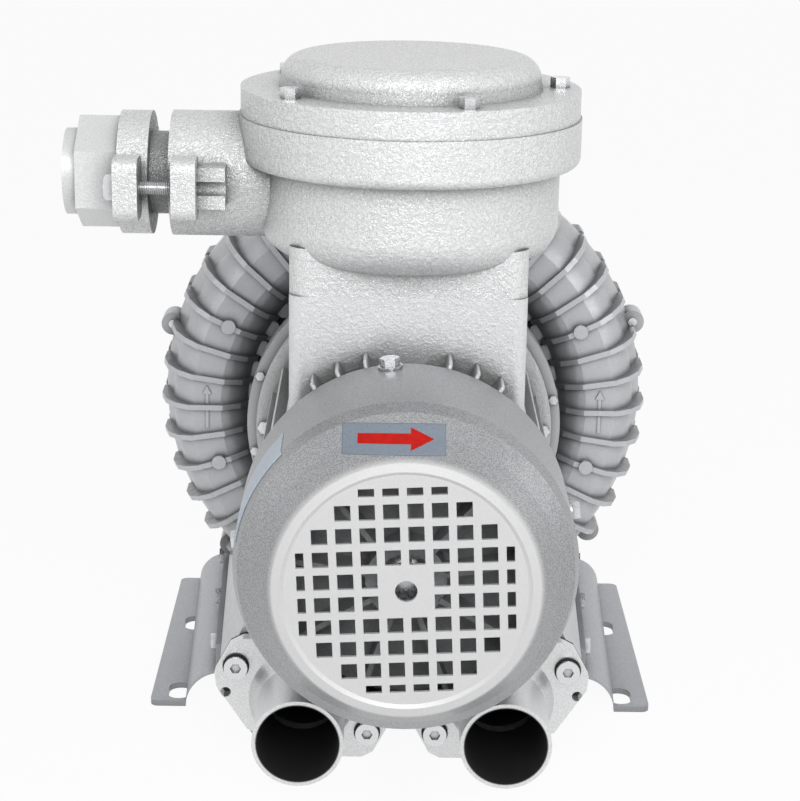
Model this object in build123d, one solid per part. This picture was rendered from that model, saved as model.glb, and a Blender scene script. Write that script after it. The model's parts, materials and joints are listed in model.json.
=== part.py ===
from build123d import *
from math import asin, cos, degrees, radians, sin, sqrt, tan
import os

# Side channel blower, foot mounted, with a flameproof motor.  Millimetres.
# Origin: centre of the four foot slots on the mounting plane.  +Z is up, +Y runs along the
# shaft from the motor's fan to the blower, and +X is to the right seen from the fan.

# ---- shaft line and the blower's ring -------------------------------------------------
SHAFT_Z = 170.2            # shaft height above the mounting plane
SPLIT_Y = 90.0             # joint between housing and cover, and mid-plane of the impeller
RING_HALF = 50.0           # split plane to the flat band of either half
BAND_R_OUT = 142.9         # flat band on the ring's face
BAND_R_IN = 124.4
RING_R = 158.5             # outside of the ring between its ribs
VALLEY_R = 106.0           # inside edge of the ring
WALL = 6.5                 # casting wall round the channel
RIM_R = 165.0              # rim flange at the split
RIM_THICK = 5.0
RING_SHOULDER = 24.0       # the outside tapers from the rim flange up to here
RIB_COUNT = 42             # ribs in a full turn
RIB_TIP_R = 167.0
RIB_THICK = 3.6
RIB_BAND_RISE = 3.5        # height of a rib over the flat band
RIB_LOWEST = -44.0         # the port casing takes over below this angle
BUMP_R = 5.6               # scallops along the inside edge, one per bay
BUMP_Y = 37.0
PAD_R = 4.8                # round pads on four of the ribs
PAD_CENTRE_R = 131.5
PAD_RISE = 1.2
PAD_RIBS = (3, 18, -2, 23)
WEB_COUNT = 14             # radial webs behind the ring's inside edge
WEB_THICK = 4.0
ARROW_LENGTH = 30.0        # raised flow arrows on the flat band
ARROW_RISE = 0.8

# ---- channel and impeller -------------------------------------------------------------
CHANNEL_R_IN = 112.0
STRIPPER_ANGLE = 30.0      # closed part of the channel between the ports
IMPELLER_GAP = 1.0         # running gap round the impeller
IMPELLER_R = 150.0
IMPELLER_HALF = 18.0       # half width over the blades
DISC_HALF = 5.0
BLADE_COUNT = 40
BLADE_THICK = 2.4
POCKET_R = 15.5            # radius of the round pocket between two blades
HUB_R = 28.0
HUB_LENGTH = 18.0          # from the disc's motor side towards the cover
SEAL_R = 21.0
COVER_PLATE = 9.0

# ---- neck between the ring and the motor ----------------------------------------------
NECK_R = 88.0
NECK_WALL = 8.0
FLANGE_R = 104.0
FLANGE_THICK = 8.0
FLANGE_Y = 12.0            # front face of the housing's flange
HUB_PLATE = 9.0

# ---- port casing under the motor ------------------------------------------------------
CASING_FRONT_Y = -141.0
CASING_HALF_FRONT = 113.0  # half width at the front
CASING_DRAFT = 2.4         # draft of the side walls, degrees
CASING_BOTTOM = 5.0
CASING_SHOULDER = 92.0     # height of the shoulders beside the motor
CORNER_FRONT = (27.0, 38.0)  # lower corner's cut at the ports, across and up
CORNER_BACK = 6.0
CORNER_END_Y = -80.0
ARCH_TOP = 26.0            # arch along the underside, between the ports
ARCH_TOP_HALF = 13.0
ARCH_FOOT_HALF = 20.0
CASING_LEAN = 15.0         # inward lean of the shoulders
SADDLE_R = 101.0           # hollow of the casing's top round the motor
CASING_BACK_Y = 122.0
PORT_X = 61.0
PORT_Z = 42.0
CASING_WALL = 7.0
CASING_FRONT_WALL = 9.0
MID_WEB = 10.0             # wall between the two silencer chambers
CHAMBER_BACK_Y = 40.0
SILENCER_GAP = 0.2
DUCT_R = 25.5              # air way through the silencers and gaskets

# ---- port flanges ---------------------------------------------------------------------
PIPE_R = 27.0
PIPE_BORE_R = 24.0
PIPE_END_Y = -214.0
CONE_R = 32.5
CONE_LENGTH = 13.0
PLATE_THICK = 8.0
GASKET_THICK = 2.0
BOLT_SPACING = 91.0        # between a plate's two screws
BOLT_TILT = 28.0           # tilt of the line between them, degrees
PLATE_END = 55.0           # pipe centre to the end of a plate
PLATE_HALF_WIDTH = 34.0
PORT_SCREW_R = 4.0
PORT_HEAD_R = 7.2
PORT_HEAD_HEIGHT = 3.4
PORT_SEAL_R = 8.1
PORT_SEAL_THICK = 1.5
JACK_HOLE_R = 3.2          # threaded jacking hole in each plate
JACK_ALONG = 43.0
JACK_ACROSS = -18.5

# ---- feet -----------------------------------------------------------------------------
SHEET = 4.0
FOOT_HALF = 163.0
FOOT_FRONT_Y = -73.6
FOOT_BACK_Y = 144.2
FOOT_BEND = 20.0
FOOT_HEIGHT = 44.0
FOOT_CORNER = 5.0
SLOT_X = 145.0
SLOT_Y = 57.5
SLOT_WIDTH = 15.0
SLOT_LENGTH = 25.0
FOOT_SCREW_Y = (-50.0, 30.0, 108.0)
FOOT_SCREW_Z = 36.0

# ---- motor ----------------------------------------------------------------------------
FRAME_BORE_R = 70.0
FRAME_WALL = 8.0
FRAME_R = FRAME_BORE_R + FRAME_WALL
FAN_END_SCREW_R = FRAME_WALL / 4
FIN_TIP_R = 90.0
FIN_THICK = 3.4
FIN_FIRST = 14.5           # first fin from the top, degrees
FIN_STEP = 12.0
FIN_SIDE_COUNT = 14
FRAME_BACK_Y = 4.0         # towards the blower
FRAME_FRONT_Y = -222.0     # towards the fan
FIN_BACK_Y = -10.0
FRAME_FLANGE_R = 97.5
FRAME_FLANGE_THICK = 8.0
TOP_PAD_HALF = 10.5
COLUMN_HALF = 69.0
COLUMN_Y = -97.0
COLUMN_DEPTH = 130.0
COLUMN_TOP = 298.0
COLUMN_CORNER = 8.0
COLUMN_WALL = 8.0
STATOR_R_IN = 45.0
STATOR_LENGTH = 110.0
STATOR_Y = -110.0
WINDING_LENGTH = 24.0
WINDING_R_IN = 48.0
WINDING_R_OUT = 65.0
ROTOR_GAP = 0.4
SHAFT_R = 12.5
SHAFT_CORE_R = 16.0
SHAFT_NOSE_R = 11.0
BEARING_R = 26.0
BEARING_WIDTH = 15.0
BALL_R = 3.95
BALL_PITCH_R = 19.25
BALL_COUNT = 8
DRIVE_BEARING_Y = 0.0
FAN_BEARING_Y = -225.0
FIT_GAP = 0.03             # radial clearance of rings, spigots and bores

# ---- fan cowl and fan -----------------------------------------------------------------
COWL_R = 95.0
COWL_SHEET = 2.0
COWL_FACE_Y = -293.2
COWL_BACK_Y = -183.0
COWL_SHOULDER_Y = -263.0
GRILLE_DISC_R = 65.4
RIDGE_R = 72.2
RIDGE_DEPTH = 1.6
GRILLE_PITCH = 12.87
GRILLE_HOLE = 8.6
GRILLE_TURN = 2.84
GRILLE_CENTRE_R = 6.0
COWL_SCREW_Y = -190.5
COWL_SCREW_TURN = 6.0
FAN_R = 80.0
FAN_HUB_R = 22.0
FAN_HUB_LENGTH = 24.0
FAN_Y = -266.0
FAN_BLADES = 9
FAN_BLADE_HEIGHT = 26.0

# ---- junction box ---------------------------------------------------------------------
BOX_R = 89.0
BOX_BOTTOM = 313.0
BOX_ROUND = 20.0
BOX_BASE_TOP = 326.0
BOX_BASE_CORNER = 12.0
BOX_FLANGE_R = 101.0
BOX_FLANGE_Z = 367.0
BOX_TOP = 394.5
LID_R = 100.0
LID_TOP = 410.5
DOME_R = 76.5
DOME_ROUND = 13.0
DOME_BORE_R = 56.0
DOME_TOP = 429.0
BOX_WALL = 9.0
LID_SCREWS = 5
LID_SCREW_PCD_R = 88.0
LID_FIRST_SCREW = 3.0

# ---- cable gland ----------------------------------------------------------------------
GLAND_BOSS_R = 37.0
GLAND_Z = BOX_TOP - GLAND_BOSS_R - 0.5
GLAND_BOSS_X = -140.0
GLAND_BORE_R = 24.6
GLAND_BORE_DEPTH = 34.0
GLAND_NECK_R = 24.5
GLAND_GAP = 12.0
GLAND_FLANGE_R = 36.5
GLAND_FLANGE_THICK = 18.0
GLAND_NUT_ACROSS = 58.0
GLAND_NUT_LENGTH = 25.0
GLAND_RING_R = 25.5
GLAND_RING_LENGTH = 8.0
CABLE_R = 11.0
SEAL_CABLE_R = 8.0
GLAND_BOLT_OFFSET = 50.0
GLAND_BOLT_R = 4.0
GLAND_EAR_THICK = 14.0
GLAND_EAR_HEIGHT = 36.0
GLAND_EAR_WIDTH = 25.0
GLAND_TRAVEL = 5.0

CHANNEL = ((152.0, 22.0), (148.5, 33.0), (141.0, 42.5), (126.0, 42.5), (117.0, 36.5), (112.0, 26.0))


# ---- small helpers --------------------------------------------------------------------
def shaft_line(shape, turn=0.0):
    """Turn a shape drawn about the Y axis and lift it to the shaft."""
    return Pos(0, 0, SHAFT_Z) * Rot(0, turn, 0) * shape


def outline(points):
    """Face inside an outline; a pair of points in place of one is an arc through the first."""
    edges = []
    here = points[-1]
    for item in points:
        if isinstance(item[0], tuple):
            edges.append(ThreePointArc(here, *item))
            here = item[1]
        else:
            if item != here:
                edges.append(Line(here, item))
            here = item
    return make_face(edges)


def turned(points, sweep=360.0, start=0.0):
    """Revolve an outline of (radius, y) points about the shaft."""
    body = revolve(outline(points), axis=Axis.Y, revolution_arc=sweep)
    return shaft_line(body, start)


def rod(radius, y_from, y_to, x=0.0, z=SHAFT_Z):
    """Cylinder along Y."""
    return Pos(x, (y_from + y_to) / 2, z) * Rot(90, 0, 0) * Cylinder(radius, abs(y_to - y_from))


def ring(r_out, r_in, y_from, y_to):
    return rod(r_out, y_from, y_to) - rod(r_in, y_from - 1, y_to + 1)


def rod_x(radius, x_from, x_to, y, z):
    """Cylinder along X."""
    return Pos((x_from + x_to) / 2, y, z) * Rot(0, 90, 0) * Cylinder(radius, abs(x_to - x_from))


def polar(radius, angle):
    """X and Z of a point at an angle from +X, counted upwards, about the shaft."""
    return radius * cos(radians(angle)), SHAFT_Z + radius * sin(radians(angle))


def box(x0, x1, y0, y1, z0, z1):
    return Pos((x0 + x1) / 2, (y0 + y1) / 2, (z0 + z1) / 2) * Box(x1 - x0, y1 - y0, z1 - z0)


def hex_screw(radius, length, head_across, head_height):
    """Hexagon screw pointing down -Z, its head standing on z = 0."""
    head = extrude(RegularPolygon(head_across / 2, 6, major_radius=False), head_height)
    return head + Pos(0, 0, -length / 2) * Cylinder(radius, length)


def socket_screw(radius, length, head_r, head_height, key_across):
    head = Pos(0, 0, head_height / 2) * Cylinder(head_r, head_height)
    key = extrude(RegularPolygon(key_across / 2, 6, major_radius=False), head_height)
    return head - Pos(0, 0, head_height * 0.45) * key + Pos(0, 0, -length / 2) * Cylinder(radius, length)


def towards_back(shape, x, y, z):
    """Put a screw so that its shank points along +Y."""
    return Pos(x, y, z) * Rot(90, 0, 0) * shape


def towards_front(shape, x, y, z):
    return Pos(x, y, z) * Rot(-90, 0, 0) * shape


def save(shape, name):
    """Write one node; several solids stay apart in one compound."""
    solids = []
    for item in (shape if isinstance(shape, list) else [shape]):
        solids += item.solids()
    export_step(solids[0] if len(solids) == 1 else Compound(children=solids), f"parts/{name}.step")


# ---- ring shared by housing and cover -------------------------------------------------
def ring_points():
    """Outside of the ring as (radius, distance from the split), rim to inside edge."""
    return [
        (RIM_R, 0), (RIM_R, RIM_THICK), (RING_R, RING_SHOULDER),
        ((RING_R - 4.5, RING_HALF - 10.5), (BAND_R_OUT, RING_HALF)), (BAND_R_IN, RING_HALF),
        ((VALLEY_R + 6, RING_HALF - 5.5), (VALLEY_R, 36)),
    ]


def rib_points():
    """One cooling rib, drawn over the wall but clear of the channel."""
    crest = RING_HALF + RIB_BAND_RISE
    return [
        (RIB_TIP_R, RIM_THICK), (RIB_TIP_R, 22), (RIB_TIP_R - 4, 37), (RIB_TIP_R - 11.5, 47.5),
        (BAND_R_OUT + 3, crest), (BAND_R_IN - 1.5, crest), (VALLEY_R + 5, 47.5), (VALLEY_R - 2, 38),
        (VALLEY_R - 2, 30), (VALLEY_R + 2, 30), (VALLEY_R + 8, 40), (BAND_R_IN + 1.5, 46),
        (BAND_R_OUT - 1, 46), (RING_R - 8.5, 40), (RING_R - 2.5, 28), (RING_R - 2.5, RIM_THICK),
    ]


def rib_angles(side):
    """All round on the cover; on the housing the port casing replaces the lowest ribs."""
    pitch = 360.0 / RIB_COUNT
    if side > 0:
        return [k * pitch for k in range(RIB_COUNT)]
    first = int(-RIB_LOWEST / pitch)
    return [k * pitch for k in range(-first, RIB_COUNT // 2 + first + 1)]


def from_split(points, side):
    """Side -1 is the housing's half, +1 the cover's."""
    return [tuple(from_split(item, side)) if isinstance(item[0], tuple)
            else (item[0], SPLIT_Y + side * item[1]) for item in points]


def ribs(side):
    blade = extrude(outline(from_split(rib_points(), side)), RIB_THICK / 2, both=True)
    return [shaft_line(blade, -angle) for angle in rib_angles(side)]


def scallops(side):
    """Rounded bumps along the ring's inside edge, one between each two ribs."""
    pitch = 360.0 / RIB_COUNT
    near = SPLIT_Y + side * 14
    far = SPLIT_Y + side * BUMP_Y
    out = []
    for angle in rib_angles(side)[:-1]:
        x, z = polar(VALLEY_R - 1.5, angle + pitch / 2)
        out.append(rod(BUMP_R, near, far, x, z))
    return out


def pads(side):
    pitch = 360.0 / RIB_COUNT
    top = SPLIT_Y + side * (RING_HALF + RIB_BAND_RISE + PAD_RISE)
    out = []
    for k in PAD_RIBS:
        x, z = polar(PAD_CENTRE_R, k * pitch)
        out.append(rod(PAD_R, SPLIT_Y + side * (RING_HALF - 2), top, x, z))
    return out


def webs(side, plate_y):
    """Radial webs between the neck and the ring's inside edge."""
    edge = SPLIT_Y + side * 34
    blade = box(NECK_R - 4, VALLEY_R + 1, min(plate_y, edge), max(plate_y, edge),
                -WEB_THICK / 2, WEB_THICK / 2)
    return [shaft_line(blade, k * 360.0 / WEB_COUNT) for k in range(WEB_COUNT)]


def channel_cut():
    """Air channel of both halves; it stops at the stripper between the ports."""
    half = [(CHANNEL[0][0], 0)] + list(CHANNEL) + [(CHANNEL_R_IN, 0)]
    back = [(r, -d) for r, d in reversed(CHANNEL)]
    points = [(r, SPLIT_Y + d) for r, d in half[:-1] + back]
    return turned(points, 360.0 - STRIPPER_ANGLE, 90.0 + STRIPPER_ANGLE / 2)


def impeller_room():
    disc = DISC_HALF + IMPELLER_GAP
    blades = IMPELLER_HALF + IMPELLER_GAP
    return (rod(CHANNEL_R_IN, SPLIT_Y - disc, SPLIT_Y + disc)
            + ring(IMPELLER_R + IMPELLER_GAP, CHANNEL_R_IN - 1, SPLIT_Y - blades, SPLIT_Y + blades))


def casing_half(y):
    """Half width of the port casing, which widens with its draft."""
    return CASING_HALF_FRONT + (y - CASING_FRONT_Y) * tan(radians(CASING_DRAFT))


def casing_corner(y):
    """Cut of the lower corner, wide at the ports and small from the feet on."""
    share = min(1.0, max(0.0, (y - CASING_FRONT_Y) / (CORNER_END_Y - CASING_FRONT_Y)))
    return tuple(front + share * (CORNER_BACK - front) for front in CORNER_FRONT)


def casing_section(y, inset=0.0):
    """Section of the port casing: drafted sides, leaning shoulders, an arch between the ports."""
    half = casing_half(y) - inset
    top_half = half - CASING_LEAN
    bottom = CASING_BOTTOM + inset
    top = CASING_SHOULDER - inset
    across, up = casing_corner(y)
    half_side = [(0, ARCH_TOP + inset), (ARCH_TOP_HALF + inset, ARCH_TOP + inset),
                 (ARCH_FOOT_HALF + inset, bottom), (half - across, bottom), (half, bottom + up),
                 (half, FOOT_HEIGHT + 4), (top_half, top - 8), (top_half - 8, top), (0, top)]
    points = half_side + [(-x, z) for x, z in reversed(half_side[1:-1])]
    return Plane.XZ.offset(-y) * outline(points)


def casing_block(y_from, y_to, inset=0.0):
    turns = [y for y in (CORNER_END_Y,) if y_from < y < y_to]
    return loft([casing_section(y, inset) for y in (y_from, *turns, y_to)], ruled=True)


def chamber(side, gap=0.0):
    """Silencer chamber on one side, a wall's thickness inside the casing."""
    inset = CASING_WALL + gap
    front = CASING_FRONT_Y + CASING_FRONT_WALL + gap
    back = CHAMBER_BACK_Y - gap
    room = casing_block(front, back, inset) - rod(SADDLE_R + inset, front - 1, back + 1)
    inner = MID_WEB / 2 + gap
    keep = (inner, 200) if side > 0 else (-200, -inner)
    return room & box(*keep, front - 1, back + 1, 0, 200)


# ---- blower ---------------------------------------------------------------------------
COVER_SCREW_ANGLES = (90.0, 18.6, 163.6, -37.0, 223.5)
LUG_CENTRE_R = 167.0
LUG_R = 8.0
COVER_SCREW_R = 3.0


def lugs(side):
    """Screw lugs on the rim flange."""
    out = []
    for angle in COVER_SCREW_ANGLES:
        x, z = polar(LUG_CENTRE_R, angle)
        out.append(rod(LUG_R, SPLIT_Y, SPLIT_Y + side * (RIM_THICK + 4), x, z))
    return out


def blower_housing():
    plate_y = SPLIT_Y - DISC_HALF - IMPELLER_GAP - HUB_PLATE
    neck = [(VALLEY_R - 1, plate_y), (NECK_R, plate_y), (NECK_R, FLANGE_Y + FLANGE_THICK),
            (FLANGE_R, FLANGE_Y + FLANGE_THICK), (FLANGE_R, FLANGE_Y), (NECK_R - NECK_WALL, FLANGE_Y),
            (NECK_R - NECK_WALL, plate_y), (SEAL_R + 8, plate_y), (SEAL_R + 8, plate_y - 10),
            (SEAL_R, plate_y - 10), (SEAL_R, SPLIT_Y)]
    body = turned(from_split(ring_points(), -1) + neck)
    body += ribs(-1) + scallops(-1) + pads(-1) + webs(-1, plate_y + 1) + lugs(-1) + flow_arrows()
    casing = casing_block(CASING_FRONT_Y, SPLIT_Y)
    casing -= rod(SADDLE_R, CASING_FRONT_Y - 1, FLANGE_Y + 1)
    casing -= rod(FLANGE_R + 1.5, FRAME_BACK_Y - 12, FLANGE_Y)
    casing -= rod(NECK_R - NECK_WALL, FLANGE_Y - 1, plate_y)
    body += casing
    body -= impeller_room()
    body -= channel_cut()
    for side in (-1, 1):
        x = side * PORT_X
        body -= chamber(side)
        body -= rod(DUCT_R, CASING_FRONT_Y - 1, CHAMBER_BACK_Y - 1, x, PORT_Z)
        body -= rod(PIPE_BORE_R, CHAMBER_BACK_Y - 1, SPLIT_Y - IMPELLER_HALF, x, PORT_Z)
        for bx, bz in plate_bolts(side):
            body -= rod(PORT_SCREW_R + FIT_GAP, CASING_FRONT_Y - 1, CASING_FRONT_Y + 8, bx, bz)
        for y in FOOT_SCREW_Y:
            body -= foot_hole(side, y)
    for angle in COVER_SCREW_ANGLES:
        x, z = polar(LUG_CENTRE_R, angle)
        body -= rod(COVER_SCREW_R + FIT_GAP, SPLIT_Y - RIM_THICK - 6, SPLIT_Y + 1, x, z)
    for angle in adapter_angles():
        x, z = polar(ADAPTER_PCD_R, angle)
        body -= rod(ADAPTER_SCREW_R + FIT_GAP, FLANGE_Y - 1, FLANGE_Y + 7, x, z)
    return body


def flow_arrows():
    """Raised arrows that run round the flat band on either side."""
    y = SPLIT_Y - RING_HALF
    mid = (BAND_R_IN + BAND_R_OUT) / 2
    half = ARROW_LENGTH / 2
    points = [(-1, -half), (1, -half), (1, half - 6), (3, half - 6), (0, half), (-3, half - 6), (-1, half - 6)]
    out = []
    for side in (-1, 1):
        flat = [(side * mid + u, SHAFT_Z + v) for u, v in points]
        out.append(extrude(Plane.XZ.offset(-(y + 1)) * outline(flat), 1 + ARROW_RISE))
    return out


def cover_webs(plate_y):
    """Radial stiffeners on the cover's outside, highest at the ring."""
    section = outline([(HUB_R + 8, plate_y - 1), (VALLEY_R + 1, plate_y - 1), (VALLEY_R + 1, plate_y + 14),
                       (HUB_R + 8, plate_y + 8)])
    blade = extrude(section, WEB_THICK / 2, both=True)
    return [shaft_line(blade, k * 360.0 / WEB_COUNT) for k in range(WEB_COUNT)]


def blower_cover():
    plate_y = SPLIT_Y + DISC_HALF + IMPELLER_GAP + COVER_PLATE
    middle = [(VALLEY_R - 1, plate_y), (0, plate_y), (0, SPLIT_Y)]
    body = turned(from_split(ring_points(), 1) + middle)
    body += ribs(1) + cover_webs(plate_y) + lugs(1)
    body += rod(HUB_R + 12, plate_y - 1, hub_end() + 16)
    foot = casing_block(SPLIT_Y, CASING_BACK_Y) - rod(VALLEY_R - 1, SPLIT_Y - 1, CASING_BACK_Y + 1)
    body += foot
    body -= impeller_room()
    body -= channel_cut()
    body -= rod(HUB_R + 4, SPLIT_Y, hub_end() + 10)
    for side in (-1, 1):
        body -= foot_hole(side, FOOT_SCREW_Y[2])
    for angle in COVER_SCREW_ANGLES:
        x, z = polar(LUG_CENTRE_R, angle)
        body -= rod(COVER_SCREW_R + 0.3, SPLIT_Y - 1, SPLIT_Y + RIM_THICK + 6, x, z)
        body -= rod(LUG_R - 1, SPLIT_Y + RIM_THICK + 4, SPLIT_Y + RING_HALF, x, z)
    return body


def cover_screws():
    head_y = SPLIT_Y + RIM_THICK + 4
    screw = hex_screw(COVER_SCREW_R, RIM_THICK + 14, 10.0, 4.0)
    return [towards_front(screw, *[polar(LUG_CENTRE_R, a)[0], head_y, polar(LUG_CENTRE_R, a)[1]])
            for a in COVER_SCREW_ANGLES]


def silencer(side):
    """Foam block with the air way through it, fitted to its chamber."""
    return chamber(side, SILENCER_GAP) - rod(DUCT_R, CASING_FRONT_Y - 1, CHAMBER_BACK_Y + 1,
                                             side * PORT_X, PORT_Z)


def hub_end():
    return SPLIT_Y - DISC_HALF + HUB_LENGTH


def impeller():
    body = ring(HUB_R, SHAFT_NOSE_R + FIT_GAP, SPLIT_Y - DISC_HALF, hub_end())
    root = CHANNEL_R_IN + 1.2
    body += ring(root + 4, HUB_R - 1, SPLIT_Y - DISC_HALF, SPLIT_Y + DISC_HALF)
    core = [(root, DISC_HALF), (IMPELLER_R - 14, 2.0), (IMPELLER_R - 10, 1.5), (IMPELLER_R - 10, -1.5),
            (IMPELLER_R - 14, -2.0), (root, -DISC_HALF)]
    body += turned([(r, SPLIT_Y + d) for r, d in core])
    blade = box(root + 2, IMPELLER_R, SPLIT_Y - IMPELLER_HALF, SPLIT_Y + IMPELLER_HALF,
                -BLADE_THICK / 2, BLADE_THICK / 2)
    collar = ring(root + 4, root, SPLIT_Y - IMPELLER_HALF, SPLIT_Y + IMPELLER_HALF)
    body += [collar] + [shaft_line(blade, k * 360.0 / BLADE_COUNT) for k in range(BLADE_COUNT)]
    return body - key_block(0.05)


KEY_WIDTH = 6.0
KEY_HEIGHT = 6.0


def key_block(gap=0.0):
    half = KEY_WIDTH / 2 + gap
    base = SHAFT_Z + SHAFT_NOSE_R - KEY_HEIGHT / 2
    return box(-half, half, SPLIT_Y - DISC_HALF, hub_end() - 1 + gap, base - gap, base + KEY_HEIGHT + gap)


def impeller_washer():
    return ring(14.0, 5.2, hub_end(), hub_end() + 2)


def impeller_screw():
    screw = hex_screw(5.0, 22.0, 16.0, 6.4)
    return towards_front(screw, 0, hub_end() + 2, SHAFT_Z)


# ---- ports ----------------------------------------------------------------------------
def plate_frame(side):
    """Directions along and across a port plate, as (x, z)."""
    along = (side * cos(radians(BOLT_TILT)), sin(radians(BOLT_TILT)))
    across = (-side * sin(radians(BOLT_TILT)), cos(radians(BOLT_TILT)))
    return along, across


def plate_point(side, u, v):
    along, across = plate_frame(side)
    return (side * PORT_X + u * along[0] + v * across[0], PORT_Z + u * along[1] + v * across[1])


def plate_bolts(side):
    return [plate_point(side, BOLT_SPACING / 2, 0), plate_point(side, -BOLT_SPACING / 2, 0)]


def plate_outline(side):
    """Two-bolt plate: a flat-ended diamond, cut level at the foot."""
    end, wide = PLATE_END, PLATE_HALF_WIDTH
    quarter = [(end, wide * 0.3), (end - 5, wide * 0.52), (20, wide)]
    points = (quarter + [(-u, v) for u, v in reversed(quarter)]
              + [(-u, -v) for u, v in quarter] + [(u, -v) for u, v in reversed(quarter)])
    face = outline([plate_point(side, u, v) for u, v in points])
    level = Pos(side * PORT_X, PORT_Z + 100 / 2 + CASING_BOTTOM - PORT_Z - 1.5) * Rectangle(200, 100)
    return face & level


def port_plate(side, y_front, y_back):
    """The plate's outline as a slab between two planes across Y."""
    return extrude(Plane.XZ.offset(-y_back) * plate_outline(side), y_back - y_front)


def pipe_flange(side):
    back = CASING_FRONT_Y - GASKET_THICK
    front = back - PLATE_THICK
    x = side * PORT_X
    cone = Pos(x, front - CONE_LENGTH / 2, PORT_Z) * Rot(90, 0, 0) * Cone(CONE_R, PIPE_R, CONE_LENGTH)
    body = port_plate(side, front, back) + cone + rod(PIPE_R, PIPE_END_Y, front + 1, x, PORT_Z)
    body -= rod(PIPE_BORE_R, PIPE_END_Y - 1, back + 1, x, PORT_Z)
    for bx, bz in plate_bolts(side):
        body -= rod(PORT_SCREW_R + 0.4, front - 20, back + 1, bx, bz)
    jx, jz = plate_point(side, JACK_ALONG, JACK_ACROSS)
    return body - rod(JACK_HOLE_R, front - 1, back + 1, jx, jz)


def port_gasket(side):
    back = CASING_FRONT_Y
    body = port_plate(side, back - GASKET_THICK, back)
    body -= rod(DUCT_R, back - 5, back + 1, side * PORT_X, PORT_Z)
    for bx, bz in plate_bolts(side):
        body -= rod(PORT_SCREW_R + 0.4, back - 5, back + 1, bx, bz)
    return body


def port_screws():
    seat = CASING_FRONT_Y - GASKET_THICK - PLATE_THICK - PORT_SEAL_THICK
    screw = socket_screw(PORT_SCREW_R, PLATE_THICK + GASKET_THICK + PORT_SEAL_THICK + 7,
                         PORT_HEAD_R, PORT_HEAD_HEIGHT, 6.0)
    return [towards_back(screw, x, seat, z) for side in (-1, 1) for x, z in plate_bolts(side)]


def port_screw_seals():
    back = CASING_FRONT_Y - GASKET_THICK - PLATE_THICK
    out = []
    for side in (-1, 1):
        for x, z in plate_bolts(side):
            out.append(rod(PORT_SEAL_R, back - PORT_SEAL_THICK, back, x, z)
                       - rod(PORT_SCREW_R + 0.4, back - 5, back + 1, x, z))
    return out


# ---- feet -----------------------------------------------------------------------------
def on_casing_wall(shape, side, y, out=0.0):
    """Stand a shape drawn on z = 0 square on the casing's drafted side wall."""
    place = Pos(casing_half(y), y, FOOT_SCREW_Z) * Rot(0, 0, -CASING_DRAFT) * Pos(out, 0, 0) * Rot(0, 90, 0)
    placed = place * shape
    return placed if side > 0 else mirror(placed, about=Plane.YZ)


def foot_hole(side, y, radius=3.0 + FIT_GAP):
    return on_casing_wall(Cylinder(radius, 14), side, y)


def foot_bracket(side):
    """Sheet bracket: slotted flange on the floor, round bend, wall up the casing's side."""
    wall = casing_half(FOOT_FRONT_Y) + FIT_GAP
    reach = FOOT_HALF + 10
    bend_x = wall + SHEET + FOOT_BEND
    section = Polyline((wall, FOOT_HEIGHT), (wall, SHEET + FOOT_BEND))
    section += RadiusArc((wall, SHEET + FOOT_BEND), (bend_x, 0), FOOT_BEND + SHEET)
    section += Polyline((bend_x, 0), (reach, 0), (reach, SHEET), (bend_x, SHEET))
    section += RadiusArc((bend_x, SHEET), (wall + SHEET, SHEET + FOOT_BEND), -FOOT_BEND)
    section += Polyline((wall + SHEET, SHEET + FOOT_BEND), (wall + SHEET, FOOT_HEIGHT), (wall, FOOT_HEIGHT))
    profile = Plane.XZ.offset(-FOOT_FRONT_Y) * make_face(section)
    length = FOOT_BACK_Y - FOOT_FRONT_Y
    slope = Vector(tan(radians(CASING_DRAFT)), 1, 0)
    body = extrude(profile, length, dir=slope * sqrt(1 + tan(radians(CASING_DRAFT)) ** 2))
    body &= box(0, FOOT_HALF, FOOT_FRONT_Y, FOOT_BACK_Y, -1, FOOT_HEIGHT + 1)
    corners = [e for e in body.edges().filter_by(Axis.Z) if e.center().X > FOOT_HALF - 1]
    body = fillet(corners, FOOT_CORNER)
    for y in (-SLOT_Y, SLOT_Y):
        slot = SlotOverall(SLOT_LENGTH, SLOT_WIDTH, rotation=90)
        body -= Pos(SLOT_X, y, -1) * extrude(slot, SHEET + 2)
    for y in FOOT_SCREW_Y:
        body -= foot_hole(1, y, 3.4)
    return body if side > 0 else mirror(body, about=Plane.YZ)


def foot_screws():
    out = []
    for side in (-1, 1):
        for y in FOOT_SCREW_Y:
            screw = hex_screw(3.0, SHEET + 6, 10.0, 4.0)
            out.append(on_casing_wall(screw, side, y, SHEET + 2 * FIT_GAP))
    return out


# ---- motor ----------------------------------------------------------------------------
ADAPTER_PCD_R = 100.7
ADAPTER_SCREW_R = 2.0
ADAPTER_COUNT = 12
SHIELD_PCD_R = 92.0
SHIELD_SCREW_R = 2.5
SHIELD_COUNT = 6


def adapter_angles():
    return [11.0 + k * 360.0 / ADAPTER_COUNT for k in range(ADAPTER_COUNT)]


def shield_angles():
    return [k * 360.0 / SHIELD_COUNT for k in range(SHIELD_COUNT)]


def column_block(half, depth, z_from, z_to, corner):
    face = RectangleRounded(2 * half, depth, corner)
    return Pos(0, COLUMN_Y, z_from) * extrude(face, z_to - z_from)


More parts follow.
